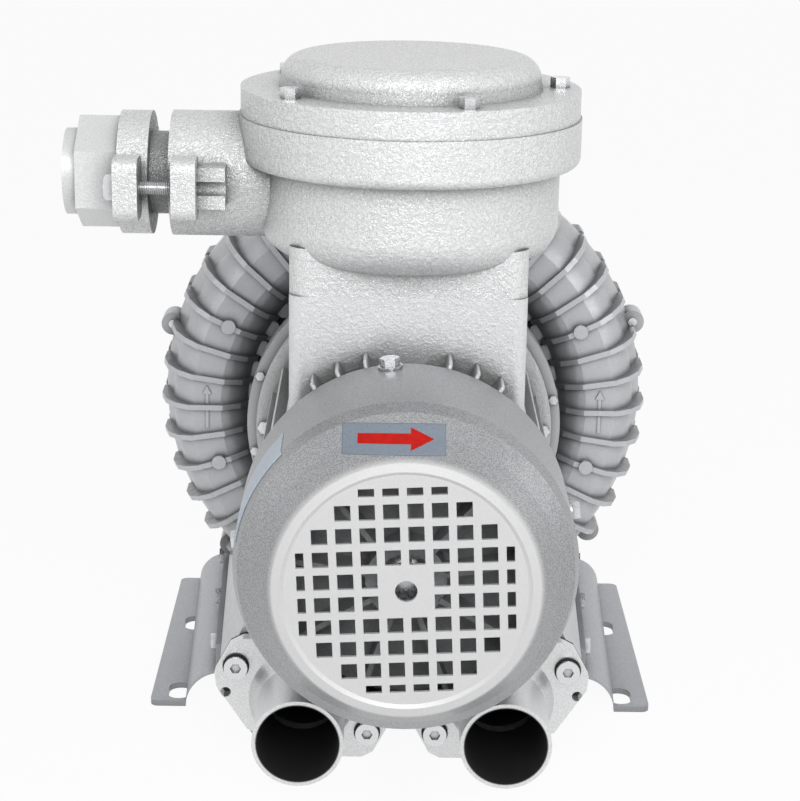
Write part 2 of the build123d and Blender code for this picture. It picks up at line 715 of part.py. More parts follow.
def motor_frame():
    """Finned stator housing in one casting with the column under the junction box."""
    body = rod(FRAME_R, FRAME_FRONT_Y, FRAME_BACK_Y)
    body += rod(FRAME_FLANGE_R, FRAME_BACK_Y - FRAME_FLANGE_THICK, FRAME_BACK_Y)
    fin = box(-FIN_THICK / 2, FIN_THICK / 2, FRAME_FRONT_Y, FIN_BACK_Y, FRAME_R - 3, FIN_TIP_R)
    fins = []
    for k in range(FIN_SIDE_COUNT):
        angle = FIN_FIRST + k * FIN_STEP
        fins += [shaft_line(fin, angle), shaft_line(fin, -angle)]
    pad = box(-TOP_PAD_HALF, TOP_PAD_HALF, FRAME_FRONT_Y, COLUMN_Y, SHAFT_Z + FRAME_R - 3,
              SHAFT_Z + FIN_TIP_R - 2)
    column = column_block(COLUMN_HALF, COLUMN_DEPTH, SHAFT_Z + 30, COLUMN_TOP, COLUMN_CORNER)
    boss_top = COWL_R - COWL_SHEET - 0.3
    boss = Pos(0, COWL_SCREW_Y, (FRAME_R + boss_top) / 2 - 2) * Cylinder(6.5, boss_top - FRAME_R + 4)
    bosses = [shaft_line(boss, turn) for turn in cowl_screw_turns()]
    body += fins + [pad, column] + bosses
    body -= rod(FRAME_BORE_R, FRAME_FRONT_Y - 1, FRAME_BACK_Y + 1)
    body -= column_block(COLUMN_HALF - COLUMN_WALL, COLUMN_DEPTH - 2 * COLUMN_WALL,
                         SHAFT_Z + FRAME_R + 8, COLUMN_TOP - 12, 4.0)
    body -= Pos(0, COLUMN_Y, COLUMN_TOP - 10) * Cylinder(18, 60)
    for turn in cowl_screw_turns():
        body -= shaft_line(Pos(0, COWL_SCREW_Y, COWL_R - 8) * Cylinder(3.0 + FIT_GAP, 14.5), turn)
    for angle in shield_angles():
        x, z = polar(SHIELD_PCD_R, angle)
        body -= rod(SHIELD_SCREW_R + 0.3, FRAME_BACK_Y - 20, FRAME_BACK_Y + 1, x, z)
    for angle in fan_shield_angles():
        x, z = polar((FRAME_BORE_R + FRAME_R) / 2, angle)
        body -= rod(2.0 + FIT_GAP, FRAME_FRONT_Y - 1, FRAME_FRONT_Y + 12, x, z)
    for dx, dy in box_screw_places():
        body -= Pos(dx, COLUMN_Y + dy, COLUMN_TOP) * Cylinder(3.0 + FIT_GAP, 24)
    return body


def cowl_screw_turns():
    """Turns about the shaft from straight up, towards -X."""
    return [-COWL_SCREW_TURN + k * 90.0 for k in range(4)]


def fan_shield_angles():
    return [45.0 + k * 90.0 for k in range(4)]


def box_screw_places():
    reach_x = COLUMN_HALF - COLUMN_WALL / 2 - 1
    reach_y = COLUMN_DEPTH / 2 - COLUMN_WALL / 2 - 1
    return [(sx * (reach_x - 10), sy * (reach_y - 10)) for sx in (-1, 1) for sy in (-1, 1)]


def drive_end_shield():
    """Bearing shield between motor and blower, clamped to the housing's flange."""
    seat = DRIVE_BEARING_Y + BEARING_WIDTH / 2
    points = [(FLANGE_R, FLANGE_Y), (FLANGE_R, FRAME_BACK_Y), (FRAME_BORE_R - FIT_GAP, FRAME_BACK_Y),
              (FRAME_BORE_R - FIT_GAP, FRAME_BACK_Y - 6), (FRAME_BORE_R - 8, FRAME_BACK_Y - 6),
              (FRAME_BORE_R - 10, FRAME_BACK_Y), (BEARING_R + 8, FRAME_BACK_Y - 2),
              (BEARING_R + 8, DRIVE_BEARING_Y - BEARING_WIDTH / 2), (BEARING_R + FIT_GAP,
              DRIVE_BEARING_Y - BEARING_WIDTH / 2), (BEARING_R + FIT_GAP, seat), (SHAFT_CORE_R + 3, seat),
              (SHAFT_CORE_R + 3, FLANGE_Y)]
    body = turned(points)
    for angle in adapter_angles():
        x, z = polar(ADAPTER_PCD_R, angle)
        body -= rod(ADAPTER_SCREW_R + 0.3, FRAME_BACK_Y - 1, FLANGE_Y + 1, x, z)
    for angle in shield_angles():
        x, z = polar(SHIELD_PCD_R, angle)
        body -= rod(SHIELD_SCREW_R + FIT_GAP, FRAME_BACK_Y - 1, FLANGE_Y - 1, x, z)
    return body


def adapter_screws():
    screw = hex_screw(ADAPTER_SCREW_R, FLANGE_Y - FRAME_BACK_Y + 6, 5.5, 2.6)
    return [towards_back(screw, polar(ADAPTER_PCD_R, a)[0], FRAME_BACK_Y, polar(ADAPTER_PCD_R, a)[1])
            for a in adapter_angles()]


def shield_screws():
    head_y = FRAME_BACK_Y - FRAME_FLANGE_THICK
    screw = hex_screw(SHIELD_SCREW_R, FRAME_FLANGE_THICK + 6, 8.0, 3.5)
    return [towards_back(screw, polar(SHIELD_PCD_R, a)[0], head_y, polar(SHIELD_PCD_R, a)[1])
            for a in shield_angles()]


def fan_end_shield():
    back = FRAME_FRONT_Y
    front = back - 10
    seat_back = FAN_BEARING_Y + BEARING_WIDTH / 2
    seat_front = FAN_BEARING_Y - BEARING_WIDTH / 2 - 2
    points = [(FRAME_BORE_R - 4, front), (FRAME_R, front), (FRAME_R, back), (FRAME_BORE_R - FIT_GAP, back),
              (FRAME_BORE_R - FIT_GAP, back + 6), (FRAME_BORE_R - 8, back + 6), (FRAME_BORE_R - 10, back),
              (BEARING_R + 8, back), (BEARING_R + 8, seat_back), (BEARING_R + FIT_GAP, seat_back),
              (BEARING_R + FIT_GAP, seat_front), (SHAFT_R + 3, seat_front), (SHAFT_R + 3, seat_front - 4),
              (BEARING_R + 6, seat_front - 4)]
    body = turned(points)
    for angle in fan_shield_angles():
        x, z = polar((FRAME_BORE_R + FRAME_R) / 2, angle)
        body -= rod(FAN_END_SCREW_R + 0.3, front - 1, back + 1, x, z)
    return body


def fan_end_screws():
    mid = (FRAME_BORE_R + FRAME_R) / 2
    screw = hex_screw(FAN_END_SCREW_R, 20.0, 2 * FAN_END_SCREW_R + 3.0, 2.8)
    return [towards_back(screw, polar(mid, a)[0], FRAME_FRONT_Y - 10, polar(mid, a)[1])
            for a in fan_shield_angles()]


def stator_core():
    half = STATOR_LENGTH / 2
    body = ring(FRAME_BORE_R - FIT_GAP, STATOR_R_IN, STATOR_Y - half, STATOR_Y + half)
    return body


def stator_windings():
    half = STATOR_LENGTH / 2
    out = []
    for side in (-1, 1):
        near = STATOR_Y + side * (half + 0.1)
        far = STATOR_Y + side * (half + WINDING_LENGTH)
        head = turned([(WINDING_R_OUT, near), (WINDING_R_OUT, (near + far) / 2), (WINDING_R_OUT - 4, far),
                       (WINDING_R_IN + 4, far), (WINDING_R_IN, (near + far) / 2), (WINDING_R_IN, near)])
        out.append(head)
    return out


def rotor_core():
    half = STATOR_LENGTH / 2
    return ring(STATOR_R_IN - ROTOR_GAP, SHAFT_CORE_R + FIT_GAP, STATOR_Y - half, STATOR_Y + half)


def rotor_end_rings():
    half = STATOR_LENGTH / 2
    out = []
    for side in (-1, 1):
        near = STATOR_Y + side * half
        far = near + side * 12
        out.append(ring(STATOR_R_IN - 3, STATOR_R_IN - 17, min(near, far), max(near, far)))
    return out


def rotor_shaft():
    """Stepped shaft: fan seat, bearing seats, core seat and impeller nose."""
    drive_face = DRIVE_BEARING_Y - BEARING_WIDTH / 2
    fan_face = FAN_BEARING_Y + BEARING_WIDTH / 2
    nose = SPLIT_Y - DISC_HALF
    body = rod(SHAFT_CORE_R, fan_face, drive_face)
    body += rod(SHAFT_R, FAN_Y - FAN_HUB_LENGTH / 2 - 4, fan_face + 1)
    body += rod(SHAFT_R, drive_face - 1, nose)
    body += rod(SHAFT_NOSE_R, nose - 1, hub_end() - 0.2)
    body -= key_block(0.05)
    body -= rod(5.0 + FIT_GAP, hub_end() - 22, hub_end() + 1)
    body -= clip_ring(0.05)
    return body


def clip_ring(gap=0.0):
    y = FAN_Y - FAN_HUB_LENGTH / 2 - 1.6
    return ring(SHAFT_R + 3 + gap, SHAFT_R - 1 - gap, y - gap, y + 1.4 + gap)


def fan_clip():
    slot = box(-3, 3, FAN_Y - 40, FAN_Y + 40, SHAFT_Z, SHAFT_Z + 40)
    return clip_ring() - slot


def bearing_outer(y):
    half = BEARING_WIDTH / 2
    body = ring(BEARING_R, BALL_PITCH_R + 2.0, y - half, y + half)
    return body - ball_track(y)


def bearing_inner(y):
    half = BEARING_WIDTH / 2
    body = ring(BALL_PITCH_R - 2.0, SHAFT_R + FIT_GAP, y - half, y + half)
    return body - ball_track(y)


def ball_track(y):
    return shaft_line(Pos(0, y, 0) * Rot(90, 0, 0) * Torus(BALL_PITCH_R, BALL_R + FIT_GAP))


def bearing_balls(y):
    out = []
    for k in range(BALL_COUNT):
        x, z = polar(BALL_PITCH_R, k * 360.0 / BALL_COUNT)
        out.append(Pos(x, y, z) * Sphere(BALL_R))
    return out


def bearing_cage(y):
    body = ring(BALL_PITCH_R + 1.2, BALL_PITCH_R - 1.2, y - 5.5, y + 5.5)
    for k in range(BALL_COUNT):
        body -= shaft_line(Pos(BALL_PITCH_R, y, 0) * Rot(0, 90, 0) * Cylinder(BALL_R + 0.1, 8),
                           -k * 360.0 / BALL_COUNT)
    return body


def preload_spring():
    y = FAN_BEARING_Y - BEARING_WIDTH / 2
    return ring(BEARING_R - 0.3, BEARING_R - 4, y - 1.95, y - 0.05)


def shaft_seal():
    plate_y = SPLIT_Y - DISC_HALF - IMPELLER_GAP - HUB_PLATE
    y = plate_y - 9
    body = ring(SEAL_R - FIT_GAP, SEAL_R - 2, y, y + 8)
    body += ring(SEAL_R - 1, SHAFT_R + 0.08, y + 6, y + 8)
    return body


# ---- fan and cowl ---------------------------------------------------------------------
def cooling_fan():
    back = FAN_Y + FAN_HUB_LENGTH / 2
    body = ring(FAN_HUB_R, SHAFT_R + FIT_GAP, FAN_Y - FAN_HUB_LENGTH / 2, back)
    body += ring(FAN_R - 8, FAN_HUB_R - 1, FAN_Y + 6, FAN_Y + 9)
    blade = box(-1.5, 1.5, FAN_Y - FAN_BLADE_HEIGHT / 2, FAN_Y + 9, FAN_HUB_R - 1, FAN_R)
    body += [shaft_line(blade, k * 360.0 / FAN_BLADES) for k in range(FAN_BLADES)]
    return body


def cowl_outline(offset):
    """Outside of the cowl as (radius, y), moved inwards by a sheet's thickness."""
    face = COWL_FACE_Y + offset
    crest = COWL_FACE_Y - RIDGE_DEPTH + offset
    return [(GRILLE_DISC_R, face), (GRILLE_DISC_R + 2, crest), (RIDGE_R - offset * 0.3, crest + 1),
            (COWL_R - 12 - offset * 0.6, COWL_SHOULDER_Y - 15.5), (COWL_R - 3 - offset * 0.9,
            COWL_SHOULDER_Y - 5), (COWL_R - offset, COWL_SHOULDER_Y + 5)]


def grille_cells():
    """Centres (in pitches) of the square holes: four quadrants alike."""
    quarter = []
    for row, count in ((0.5, 3), (1.5, 4), (2.5, 4), (3.5, 3)):
        first = 1.5 if row == 0.5 else 0.5
        quarter += [(first + k, row) for k in range(count)]
    return [(sx * u, sy * v) for u, v in quarter for sx in (-1, 1) for sy in (-1, 1)]


def grille_slots():
    """Half holes at the edge of the grille."""
    out = []
    for a in (0.5, 1.5):
        for sx in (-1, 1):
            for sy in (-1, 1):
                out.append((sx * a, sy * 4.35, GRILLE_HOLE, GRILLE_HOLE * 0.52))
                out.append((sx * 4.35, sy * a, GRILLE_HOLE * 0.52, GRILLE_HOLE))
    return out


def fan_cowl():
    outer = [(0, COWL_FACE_Y)] + cowl_outline(0.0) + [(COWL_R, COWL_BACK_Y)]
    inner = [(COWL_R - COWL_SHEET, COWL_BACK_Y)] + list(reversed(cowl_outline(COWL_SHEET)))
    body = turned(outer + inner + [(0, COWL_FACE_Y + COWL_SHEET)])
    cutters = []
    for u, v in grille_cells():
        cutters.append(Pos(u * GRILLE_PITCH, 0, v * GRILLE_PITCH) * Box(GRILLE_HOLE, 12, GRILLE_HOLE))
    for u, v, wide, high in grille_slots():
        cutters.append(Pos(u * GRILLE_PITCH, 0, v * GRILLE_PITCH) * Box(wide, 12, high))
    body -= [Pos(0, COWL_FACE_Y, SHAFT_Z) * Rot(0, -GRILLE_TURN, 0) * c for c in cutters]
    body -= rod(GRILLE_CENTRE_R, COWL_FACE_Y - 5, COWL_FACE_Y + 5)
    for turn in cowl_screw_turns():
        body -= shaft_line(Pos(0, COWL_SCREW_Y, COWL_R) * Cylinder(3.3, 10), turn)
    return body


def cowl_washers():
    washer = Cylinder(7.0, 1.4) - Cylinder(3.3, 4)
    return [shaft_line(Pos(0, COWL_SCREW_Y, COWL_R + 0.75) * washer, t) for t in cowl_screw_turns()]


def cowl_screws():
    screw = hex_screw(3.0, 14.0, 10.0, 4.5)
    return [shaft_line(Pos(0, COWL_SCREW_Y, COWL_R + 1.5) * screw, t) for t in cowl_screw_turns()]


# ---- junction box ---------------------------------------------------------------------
def upright(radius, z_from, z_to, y=COLUMN_Y, x=0.0):
    return Pos(x, y, (z_from + z_to) / 2) * Cylinder(radius, z_to - z_from)


def junction_box_body():
    bowl = upright(BOX_R, BOX_BOTTOM, BOX_TOP)
    bowl = fillet(bowl.edges().sort_by(Axis.Z)[0], BOX_ROUND)
    flange = upright(BOX_FLANGE_R, BOX_FLANGE_Z, BOX_TOP)
    flange = fillet(flange.edges().sort_by(Axis.Z)[0], 5.0)
    body = bowl + flange + column_block(COLUMN_HALF, COLUMN_DEPTH, COLUMN_TOP, BOX_BASE_TOP,
                                        BOX_BASE_CORNER)
    body += rod_x(GLAND_BOSS_R, GLAND_BOSS_X, -BOX_R + 20, COLUMN_Y, GLAND_Z)
    for side in (-1, 1):
        y = COLUMN_Y + side * GLAND_BOLT_OFFSET
        ear = Pos(GLAND_BOSS_X + 4 + GLAND_EAR_THICK / 2, y, GLAND_Z) * Box(
            GLAND_EAR_THICK, GLAND_EAR_WIDTH, GLAND_EAR_HEIGHT)
        body += fillet(ear.edges().filter_by(Axis.X), 7.0)
        arm_y = COLUMN_Y + side * (GLAND_BOLT_OFFSET - 14)
        body += Pos(GLAND_BOSS_X + 20, arm_y, GLAND_Z) * Box(28, 28, 24)
    body -= upright(BOX_R - BOX_WALL, BOX_BOTTOM + 10, BOX_TOP + 1)
    body -= upright(18, COLUMN_TOP - 1, BOX_BOTTOM + 11)
    body -= rod_x(GLAND_BORE_R, GLAND_BOSS_X - 1, GLAND_BOSS_X + GLAND_BORE_DEPTH, COLUMN_Y, GLAND_Z)
    body -= rod_x(CABLE_R, GLAND_BOSS_X, -BOX_R + 30, COLUMN_Y, GLAND_Z)
    for side in (-1, 1):
        y = COLUMN_Y + side * GLAND_BOLT_OFFSET
        body -= rod_x(GLAND_BOLT_R + 0.08, GLAND_BOSS_X - 5, GLAND_BOSS_X + 40, y, GLAND_Z)
    for x, y in lid_screw_places():
        body -= Pos(x, y, BOX_TOP) * Cylinder(3.0 + FIT_GAP, 40)
    for dx, dy in box_screw_places():
        body -= Pos(dx, COLUMN_Y + dy, COLUMN_TOP + 12) * Cylinder(3.4, 60)
    body -= Pos(EARTH_X, COLUMN_Y, BOX_BOTTOM + 10) * Cylinder(2.5 + FIT_GAP, 18)
    return body


def lid_screw_places():
    out = []
    for k in range(LID_SCREWS):
        angle = radians(LID_FIRST_SCREW + k * 360.0 / LID_SCREWS)
        out.append((LID_SCREW_PCD_R * cos(angle), COLUMN_Y + LID_SCREW_PCD_R * sin(angle)))
    return out


def junction_box_lid():
    plate = upright(LID_R, BOX_TOP, LID_TOP)
    shoulder = DOME_R - DOME_ROUND * (1 - sqrt(0.5))
    crest = DOME_TOP - DOME_ROUND * (1 - sqrt(0.5))
    dome = revolve(Plane.XZ * outline([(0, LID_TOP - 0.5), (DOME_R + 1, LID_TOP - 0.5),
                                       (DOME_R, DOME_TOP - DOME_ROUND),
                                       ((shoulder, crest), (DOME_R - DOME_ROUND, DOME_TOP)),
                                       (0, DOME_TOP)]), axis=Axis.Z)
    dome = Pos(0, COLUMN_Y, 0) * dome
    body = plate + dome
    body -= upright(DOME_BORE_R, BOX_TOP - 1, DOME_TOP - 9)
    for x, y in lid_screw_places():
        body -= Pos(x, y, LID_TOP) * Cylinder(3.4, 60)
    return body


def lid_screws():
    screw = hex_screw(3.0, LID_TOP - BOX_TOP + 14, 10.0, 6.0)
    return [Pos(x, y, LID_TOP) * screw for x, y in lid_screw_places()]


def box_base_screws():
    screw = hex_screw(3.0, 34.0, 10.0, 4.0)
    return [Pos(dx, COLUMN_Y + dy, BOX_BOTTOM + 10) * screw for dx, dy in box_screw_places()]


EARTH_X = 52.0
TERMINAL_SIZE = (70.0, 44.0, 16.0)


def terminal_block():
    wide, deep, high = TERMINAL_SIZE
    base = BOX_BOTTOM + 10
    body = box(-wide / 2, wide / 2, COLUMN_Y - deep / 2, COLUMN_Y + deep / 2, base, base + high)
    for x in (-17.5 + 6, 11.5):
        body -= box(x - 1.5, x + 1.5, COLUMN_Y - deep, COLUMN_Y + deep, base + high - 5, base + high + 1)
    for x, y in terminal_places():
        body -= upright(2.5 + FIT_GAP, base + 4, base + high + 1, y, x)
    return body


def terminal_places():
    return [(x, COLUMN_Y + y) for x in (-23.0, 0.0, 23.0) for y in (-12.0, 12.0)]


def terminal_studs():
    top = BOX_BOTTOM + 10 + TERMINAL_SIZE[2]
    stud = Pos(0, 0, 1) * Cylinder(2.5, 26)
    nut = extrude(RegularPolygon(4.0, 6, major_radius=False), 4)
    return [Pos(x, y, top) * (stud + nut) for x, y in terminal_places()]


def earth_screw():
    base = BOX_BOTTOM + 10
    screw = hex_screw(2.5, 8.0, 8.0, 4.0)
    return Pos(EARTH_X, COLUMN_Y, base) * screw


# ---- cable gland ----------------------------------------------------------------------
def gland_flange():
    """Compression flange: its neck slides in the boss and squeezes the seal ring."""
    face = GLAND_BOSS_X - GLAND_GAP
    back = face - GLAND_FLANGE_THICK
    body = rod_x(GLAND_FLANGE_R, back, face, COLUMN_Y, GLAND_Z)
    body += rod_x(GLAND_NECK_R, face - 1, GLAND_BOSS_X + 8, COLUMN_Y, GLAND_Z)
    for side in (-1, 1):
        y = COLUMN_Y + side * GLAND_BOLT_OFFSET
        ear = Pos(back + 2 + GLAND_EAR_THICK / 2 - 1, y, GLAND_Z) * Box(
            GLAND_EAR_THICK, GLAND_EAR_WIDTH, GLAND_EAR_HEIGHT)
        body += fillet(ear.edges().filter_by(Axis.X), 7.0)
        web = Pos(back + 1 + GLAND_EAR_THICK / 2, y - side * 14, GLAND_Z) * Box(GLAND_EAR_THICK - 2, 18, 24)
        body += web
    body -= rod_x(CABLE_R, back - 1, GLAND_BOSS_X + 9, COLUMN_Y, GLAND_Z)
    for side in (-1, 1):
        y = COLUMN_Y + side * GLAND_BOLT_OFFSET
        body -= rod_x(GLAND_BOLT_R + FIT_GAP, back - 5, face + 5, y, GLAND_Z)
    return body


def gland_nut():
    back = GLAND_BOSS_X - GLAND_GAP - GLAND_FLANGE_THICK
    hexagon = Rot(0, 0, 30) * RegularPolygon(GLAND_NUT_ACROSS / 2, 6, major_radius=False)
    body = extrude(Plane.YZ.offset(back - GLAND_NUT_LENGTH) * hexagon, GLAND_NUT_LENGTH)
    body = Pos(0, COLUMN_Y, GLAND_Z) * body
    return body - rod_x(CABLE_R, back - 60, back + 1, COLUMN_Y, GLAND_Z)


def gland_end_ring():
    back = GLAND_BOSS_X - GLAND_GAP - GLAND_FLANGE_THICK - GLAND_NUT_LENGTH
    body = rod_x(GLAND_RING_R, back - GLAND_RING_LENGTH, back, COLUMN_Y, GLAND_Z)
    return body - rod_x(CABLE_R, back - 60, back + 1, COLUMN_Y, GLAND_Z)


def gland_bolts():
    back = GLAND_BOSS_X - GLAND_GAP - GLAND_FLANGE_THICK + 1
    screw = hex_screw(GLAND_BOLT_R, 46.0, 13.0, 6.0)
    return [Pos(back, COLUMN_Y + side * GLAND_BOLT_OFFSET, GLAND_Z) * Rot(0, -90, 0) * screw
            for side in (-1, 1)]


def cable_seal_ring():
    start = GLAND_BOSS_X + 8 + GLAND_TRAVEL + 1
    end = GLAND_BOSS_X + GLAND_BORE_DEPTH - 0.1
    body = rod_x(GLAND_BORE_R - 0.2, start, end, COLUMN_Y, GLAND_Z)
    return body - rod_x(SEAL_CABLE_R, start - 1, end + 1, COLUMN_Y, GLAND_Z)


NODES = {
    "blower_housing": blower_housing,
    "blower_cover": blower_cover,
    "cover_screws": cover_screws,
    "inlet_silencer": lambda: silencer(-1),
    "outlet_silencer": lambda: silencer(1),
    "impeller": impeller,
    "impeller_key": key_block,
    "impeller_washer": impeller_washer,
    "impeller_screw": impeller_screw,
    "inlet_pipe_flange": lambda: pipe_flange(-1),
    "outlet_pipe_flange": lambda: pipe_flange(1),
    "port_gaskets": lambda: [port_gasket(-1), port_gasket(1)],
    "port_screws": port_screws,
    "port_screw_seals": port_screw_seals,
    "foot_bracket_left": lambda: foot_bracket(-1),
    "foot_bracket_right": lambda: foot_bracket(1),
    "foot_screws": foot_screws,
    "motor_frame": motor_frame,
    "drive_end_shield": drive_end_shield,
    "adapter_screws": adapter_screws,
    "shield_screws": shield_screws,
    "fan_end_shield": fan_end_shield,
    "fan_end_screws": fan_end_screws,
    "stator_core": stator_core,
    "stator_windings": stator_windings,
    "rotor_core": rotor_core,
    "rotor_end_rings": rotor_end_rings,
    "rotor_shaft": rotor_shaft,
    "fan_clip": fan_clip,
    "drive_bearing_outer_ring": lambda: bearing_outer(DRIVE_BEARING_Y),
    "drive_bearing_inner_ring": lambda: bearing_inner(DRIVE_BEARING_Y),
    "drive_bearing_balls": lambda: bearing_balls(DRIVE_BEARING_Y),
    "drive_bearing_cage": lambda: bearing_cage(DRIVE_BEARING_Y),
    "fan_bearing_outer_ring": lambda: bearing_outer(FAN_BEARING_Y),
    "fan_bearing_inner_ring": lambda: bearing_inner(FAN_BEARING_Y),
    "fan_bearing_balls": lambda: bearing_balls(FAN_BEARING_Y),
    "fan_bearing_cage": lambda: bearing_cage(FAN_BEARING_Y),
    "preload_spring": preload_spring,
    "shaft_seal": shaft_seal,
    "cooling_fan": cooling_fan,
    "fan_cowl": fan_cowl,
    "cowl_washers": cowl_washers,
    "cowl_screws": cowl_screws,
    "junction_box_body": junction_box_body,
    "junction_box_lid": junction_box_lid,
    "lid_screws": lid_screws,
    "box_base_screws": box_base_screws,
    "terminal_block": terminal_block,
    "terminal_studs": terminal_studs,
    "earth_screw": earth_screw,
    "gland_flange": gland_flange,
    "gland_nut": gland_nut,
    "gland_end_ring": gland_end_ring,
    "gland_bolts": gland_bolts,
    "cable_seal_ring": cable_seal_ring,
}

os.makedirs("parts", exist_ok=True)
for node, make in NODES.items():
    save(make(), node)
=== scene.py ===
"""Finishes and studio for a side channel blower with a flameproof motor.

Every length is in metres.  +Z is up, +Y runs along the shaft from the motor's fan to the
blower, and the origin is the centre of the foot slots on the mounting plane.
"""

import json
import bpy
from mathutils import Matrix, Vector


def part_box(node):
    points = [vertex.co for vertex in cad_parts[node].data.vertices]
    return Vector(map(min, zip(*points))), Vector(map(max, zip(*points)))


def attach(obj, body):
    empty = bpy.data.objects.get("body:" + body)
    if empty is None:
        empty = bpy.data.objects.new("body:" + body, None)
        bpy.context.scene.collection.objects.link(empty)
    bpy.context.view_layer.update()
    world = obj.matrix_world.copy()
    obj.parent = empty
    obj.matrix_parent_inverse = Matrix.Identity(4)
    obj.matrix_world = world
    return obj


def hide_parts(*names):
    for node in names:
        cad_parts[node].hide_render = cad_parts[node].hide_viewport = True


bl_info = {
    "name": "Side Channel Blower",
    "version": (1, 0, 0),
    "blender": (4, 5, 0),
    "location": "View3D > Sidebar > Blower",
    "description": "Finishes, small trim and studio for a side channel blower",
    "category": "Object",
}

from math import cos, pi, radians, sin

import bmesh
import bpy
import numpy as np
from bpy.props import FloatProperty, FloatVectorProperty, PointerProperty
from mathutils import Matrix, Vector

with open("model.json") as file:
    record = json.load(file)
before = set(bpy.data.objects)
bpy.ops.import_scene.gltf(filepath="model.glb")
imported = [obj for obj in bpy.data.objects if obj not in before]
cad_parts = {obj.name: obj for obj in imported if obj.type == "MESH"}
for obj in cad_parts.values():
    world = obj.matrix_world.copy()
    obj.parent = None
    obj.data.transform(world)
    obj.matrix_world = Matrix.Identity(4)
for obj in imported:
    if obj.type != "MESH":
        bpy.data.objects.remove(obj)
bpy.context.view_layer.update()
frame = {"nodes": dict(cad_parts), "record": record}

MM = 0.001

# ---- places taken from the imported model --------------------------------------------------
COWL_LOW, COWL_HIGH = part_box("fan_cowl")
SHAFT_Z = (COWL_LOW.z + COWL_HIGH.z) / 2
COWL_FACE_Y = COWL_LOW.y
BOLTS_LOW, BOLTS_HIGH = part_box("gland_bolts")
GLAND_LOW, GLAND_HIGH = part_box("gland_flange")
GLAND_Y = (GLAND_LOW.y + GLAND_HIGH.y) / 2
GLAND_Z = (GLAND_LOW.z + GLAND_HIGH.z) / 2

# ---- ports and cowl ----------------------------------------------------------------------
PORT_X = 61.0 * MM
PORT_Z = 42.0 * MM
PORT_BORE_R = 24.0 * MM
RIDGE_R = 72.2 * MM
COWL_PROFILE_R = np.array([65.4, 67.4, 72.2, 83.0, 92.0, 95.0]) * MM
COWL_PROFILE_Y = COWL_FACE_Y + np.array([1.6, 0.0, 1.0, 16.3, 26.8, 36.8]) * MM

# ---- arrow sticker and blank label; the arrow's sizes run from -1 to 1 over the sticker -----
STICKER_LIFT = 0.25 * MM
STICKER_THICK = 0.12 * MM
SHEET_LAY = 0.72
SHEET_ROWS = 25
SHEET_COLUMNS = 61
MARK_ROWS = 61
MARK_COLUMNS = 161
ARROW_TAIL = -0.70
ARROW_NECK = 0.33
ARROW_TIP = 0.78
ARROW_HEAD_LENGTH = 0.45
ARROW_SHAFT_HALF = 0.33
ARROW_HEAD_HALF = 0.74
LABEL_FROM = radians(-81)
LABEL_TO = radians(-46)
LABEL_FRONT_Y = -261.5 * MM
LABEL_BACK_Y = -224.0 * MM

# ---- gland bolts -------------------------------------------------------------------------
BOLT_R = 4.0 * MM
BOLT_HEAD = 6.0 * MM
BOLT_APOTHEM = 6.5 * MM
BOLT_CHAMFER = 0.8 * MM
BOLT_PLAIN = 11.0 * MM
BOLT_COLUMNS = 36
BOLT_FLAT_ROWS = 3
THREAD_CUT = 0.6 * MM
THREAD_ROWS = 8

# ---- fin ends ----------------------------------------------------------------------------
FIN_TURNS = (radians(14.5), radians(24.5), radians(34.0))
FIN_FRONT_Y = -182.0 * MM
FIN_BACK_Y = -161.0 * MM
FIN_ROOT_R = 77.0 * MM
FIN_HALF = 1.8 * MM
FIN_CORNER = 0.4
FIN_TAPER = 0.25
FIN_COLUMNS = 32
FIN_ROWS = 9

# ---- grain, flakes and painted shade in recesses -----------------------------------------
NOISE_MIDDLE = 0.5
FINE_SCALE = 3.1
COARSE_DETAIL = 3.0
FINE_DETAIL = 2.0
FINE_SHARE = 0.6
SMOOTH_SHARE = 0.5
TONE_RANGE = (0.35, 0.65)
CREASE_WIDTH = 0.045
CREASE_CUT = 0.12
FLAKE_SIZE = 0.8 * MM
FLAKE_DETAIL = 1.0
FLAKE_RANGE = (0.38, 0.62)
# open sky below the first share gives full painted recess shade, above the second none
SKY_RANGE = (0.35, 0.95)
SKY_SAMPLES = 6

# ---- shares of a colour and steps of roughness --------------------------------------------
# share of a colour left in its painted shade, for creases and recesses
PAINTED_SHADE_SHARE = 0.22
PLAIN_DARK = 0.85
ROUGH_BELOW = 0.05
ROUGH_ABOVE = 0.08
PLAIN_ROUGH_ABOVE = 0.1

# ---- cowl and port finishes --------------------------------------------------------------
COWL_FLAKE_SIZE = 0.7 * MM
COWL_GRAIN = 1.6 * MM
COWL_DEPTH = 0.12 * MM
COWL_DARK = 0.80
COWL_LIGHT = 1.24
COWL_ROUGH = 0.36
COWL_METALLIC = 0.60
GRILLE_EDGE = (RIDGE_R - 1.0 * MM, RIDGE_R + 3.0 * MM)
GRILLE_DARK = 0.96
GRILLE_ROUGH = 0.50
GRILLE_METALLIC = 0.30
PORT_GRAIN = 2.2 * MM
PORT_DEPTH = 0.18 * MM
PORT_DARK = 0.86
PORT_ROUGH = 0.36
PORT_METALLIC = 0.80
BORE_EDGE = (PORT_BORE_R + 0.2 * MM, PORT_BORE_R + 1.2 * MM)
# near black painted in the bore: painted shade of the deep pipe
PAINTED_BORE_SHADE = (0.012, 0.012, 0.013)
BORE_ROUGH = 0.85

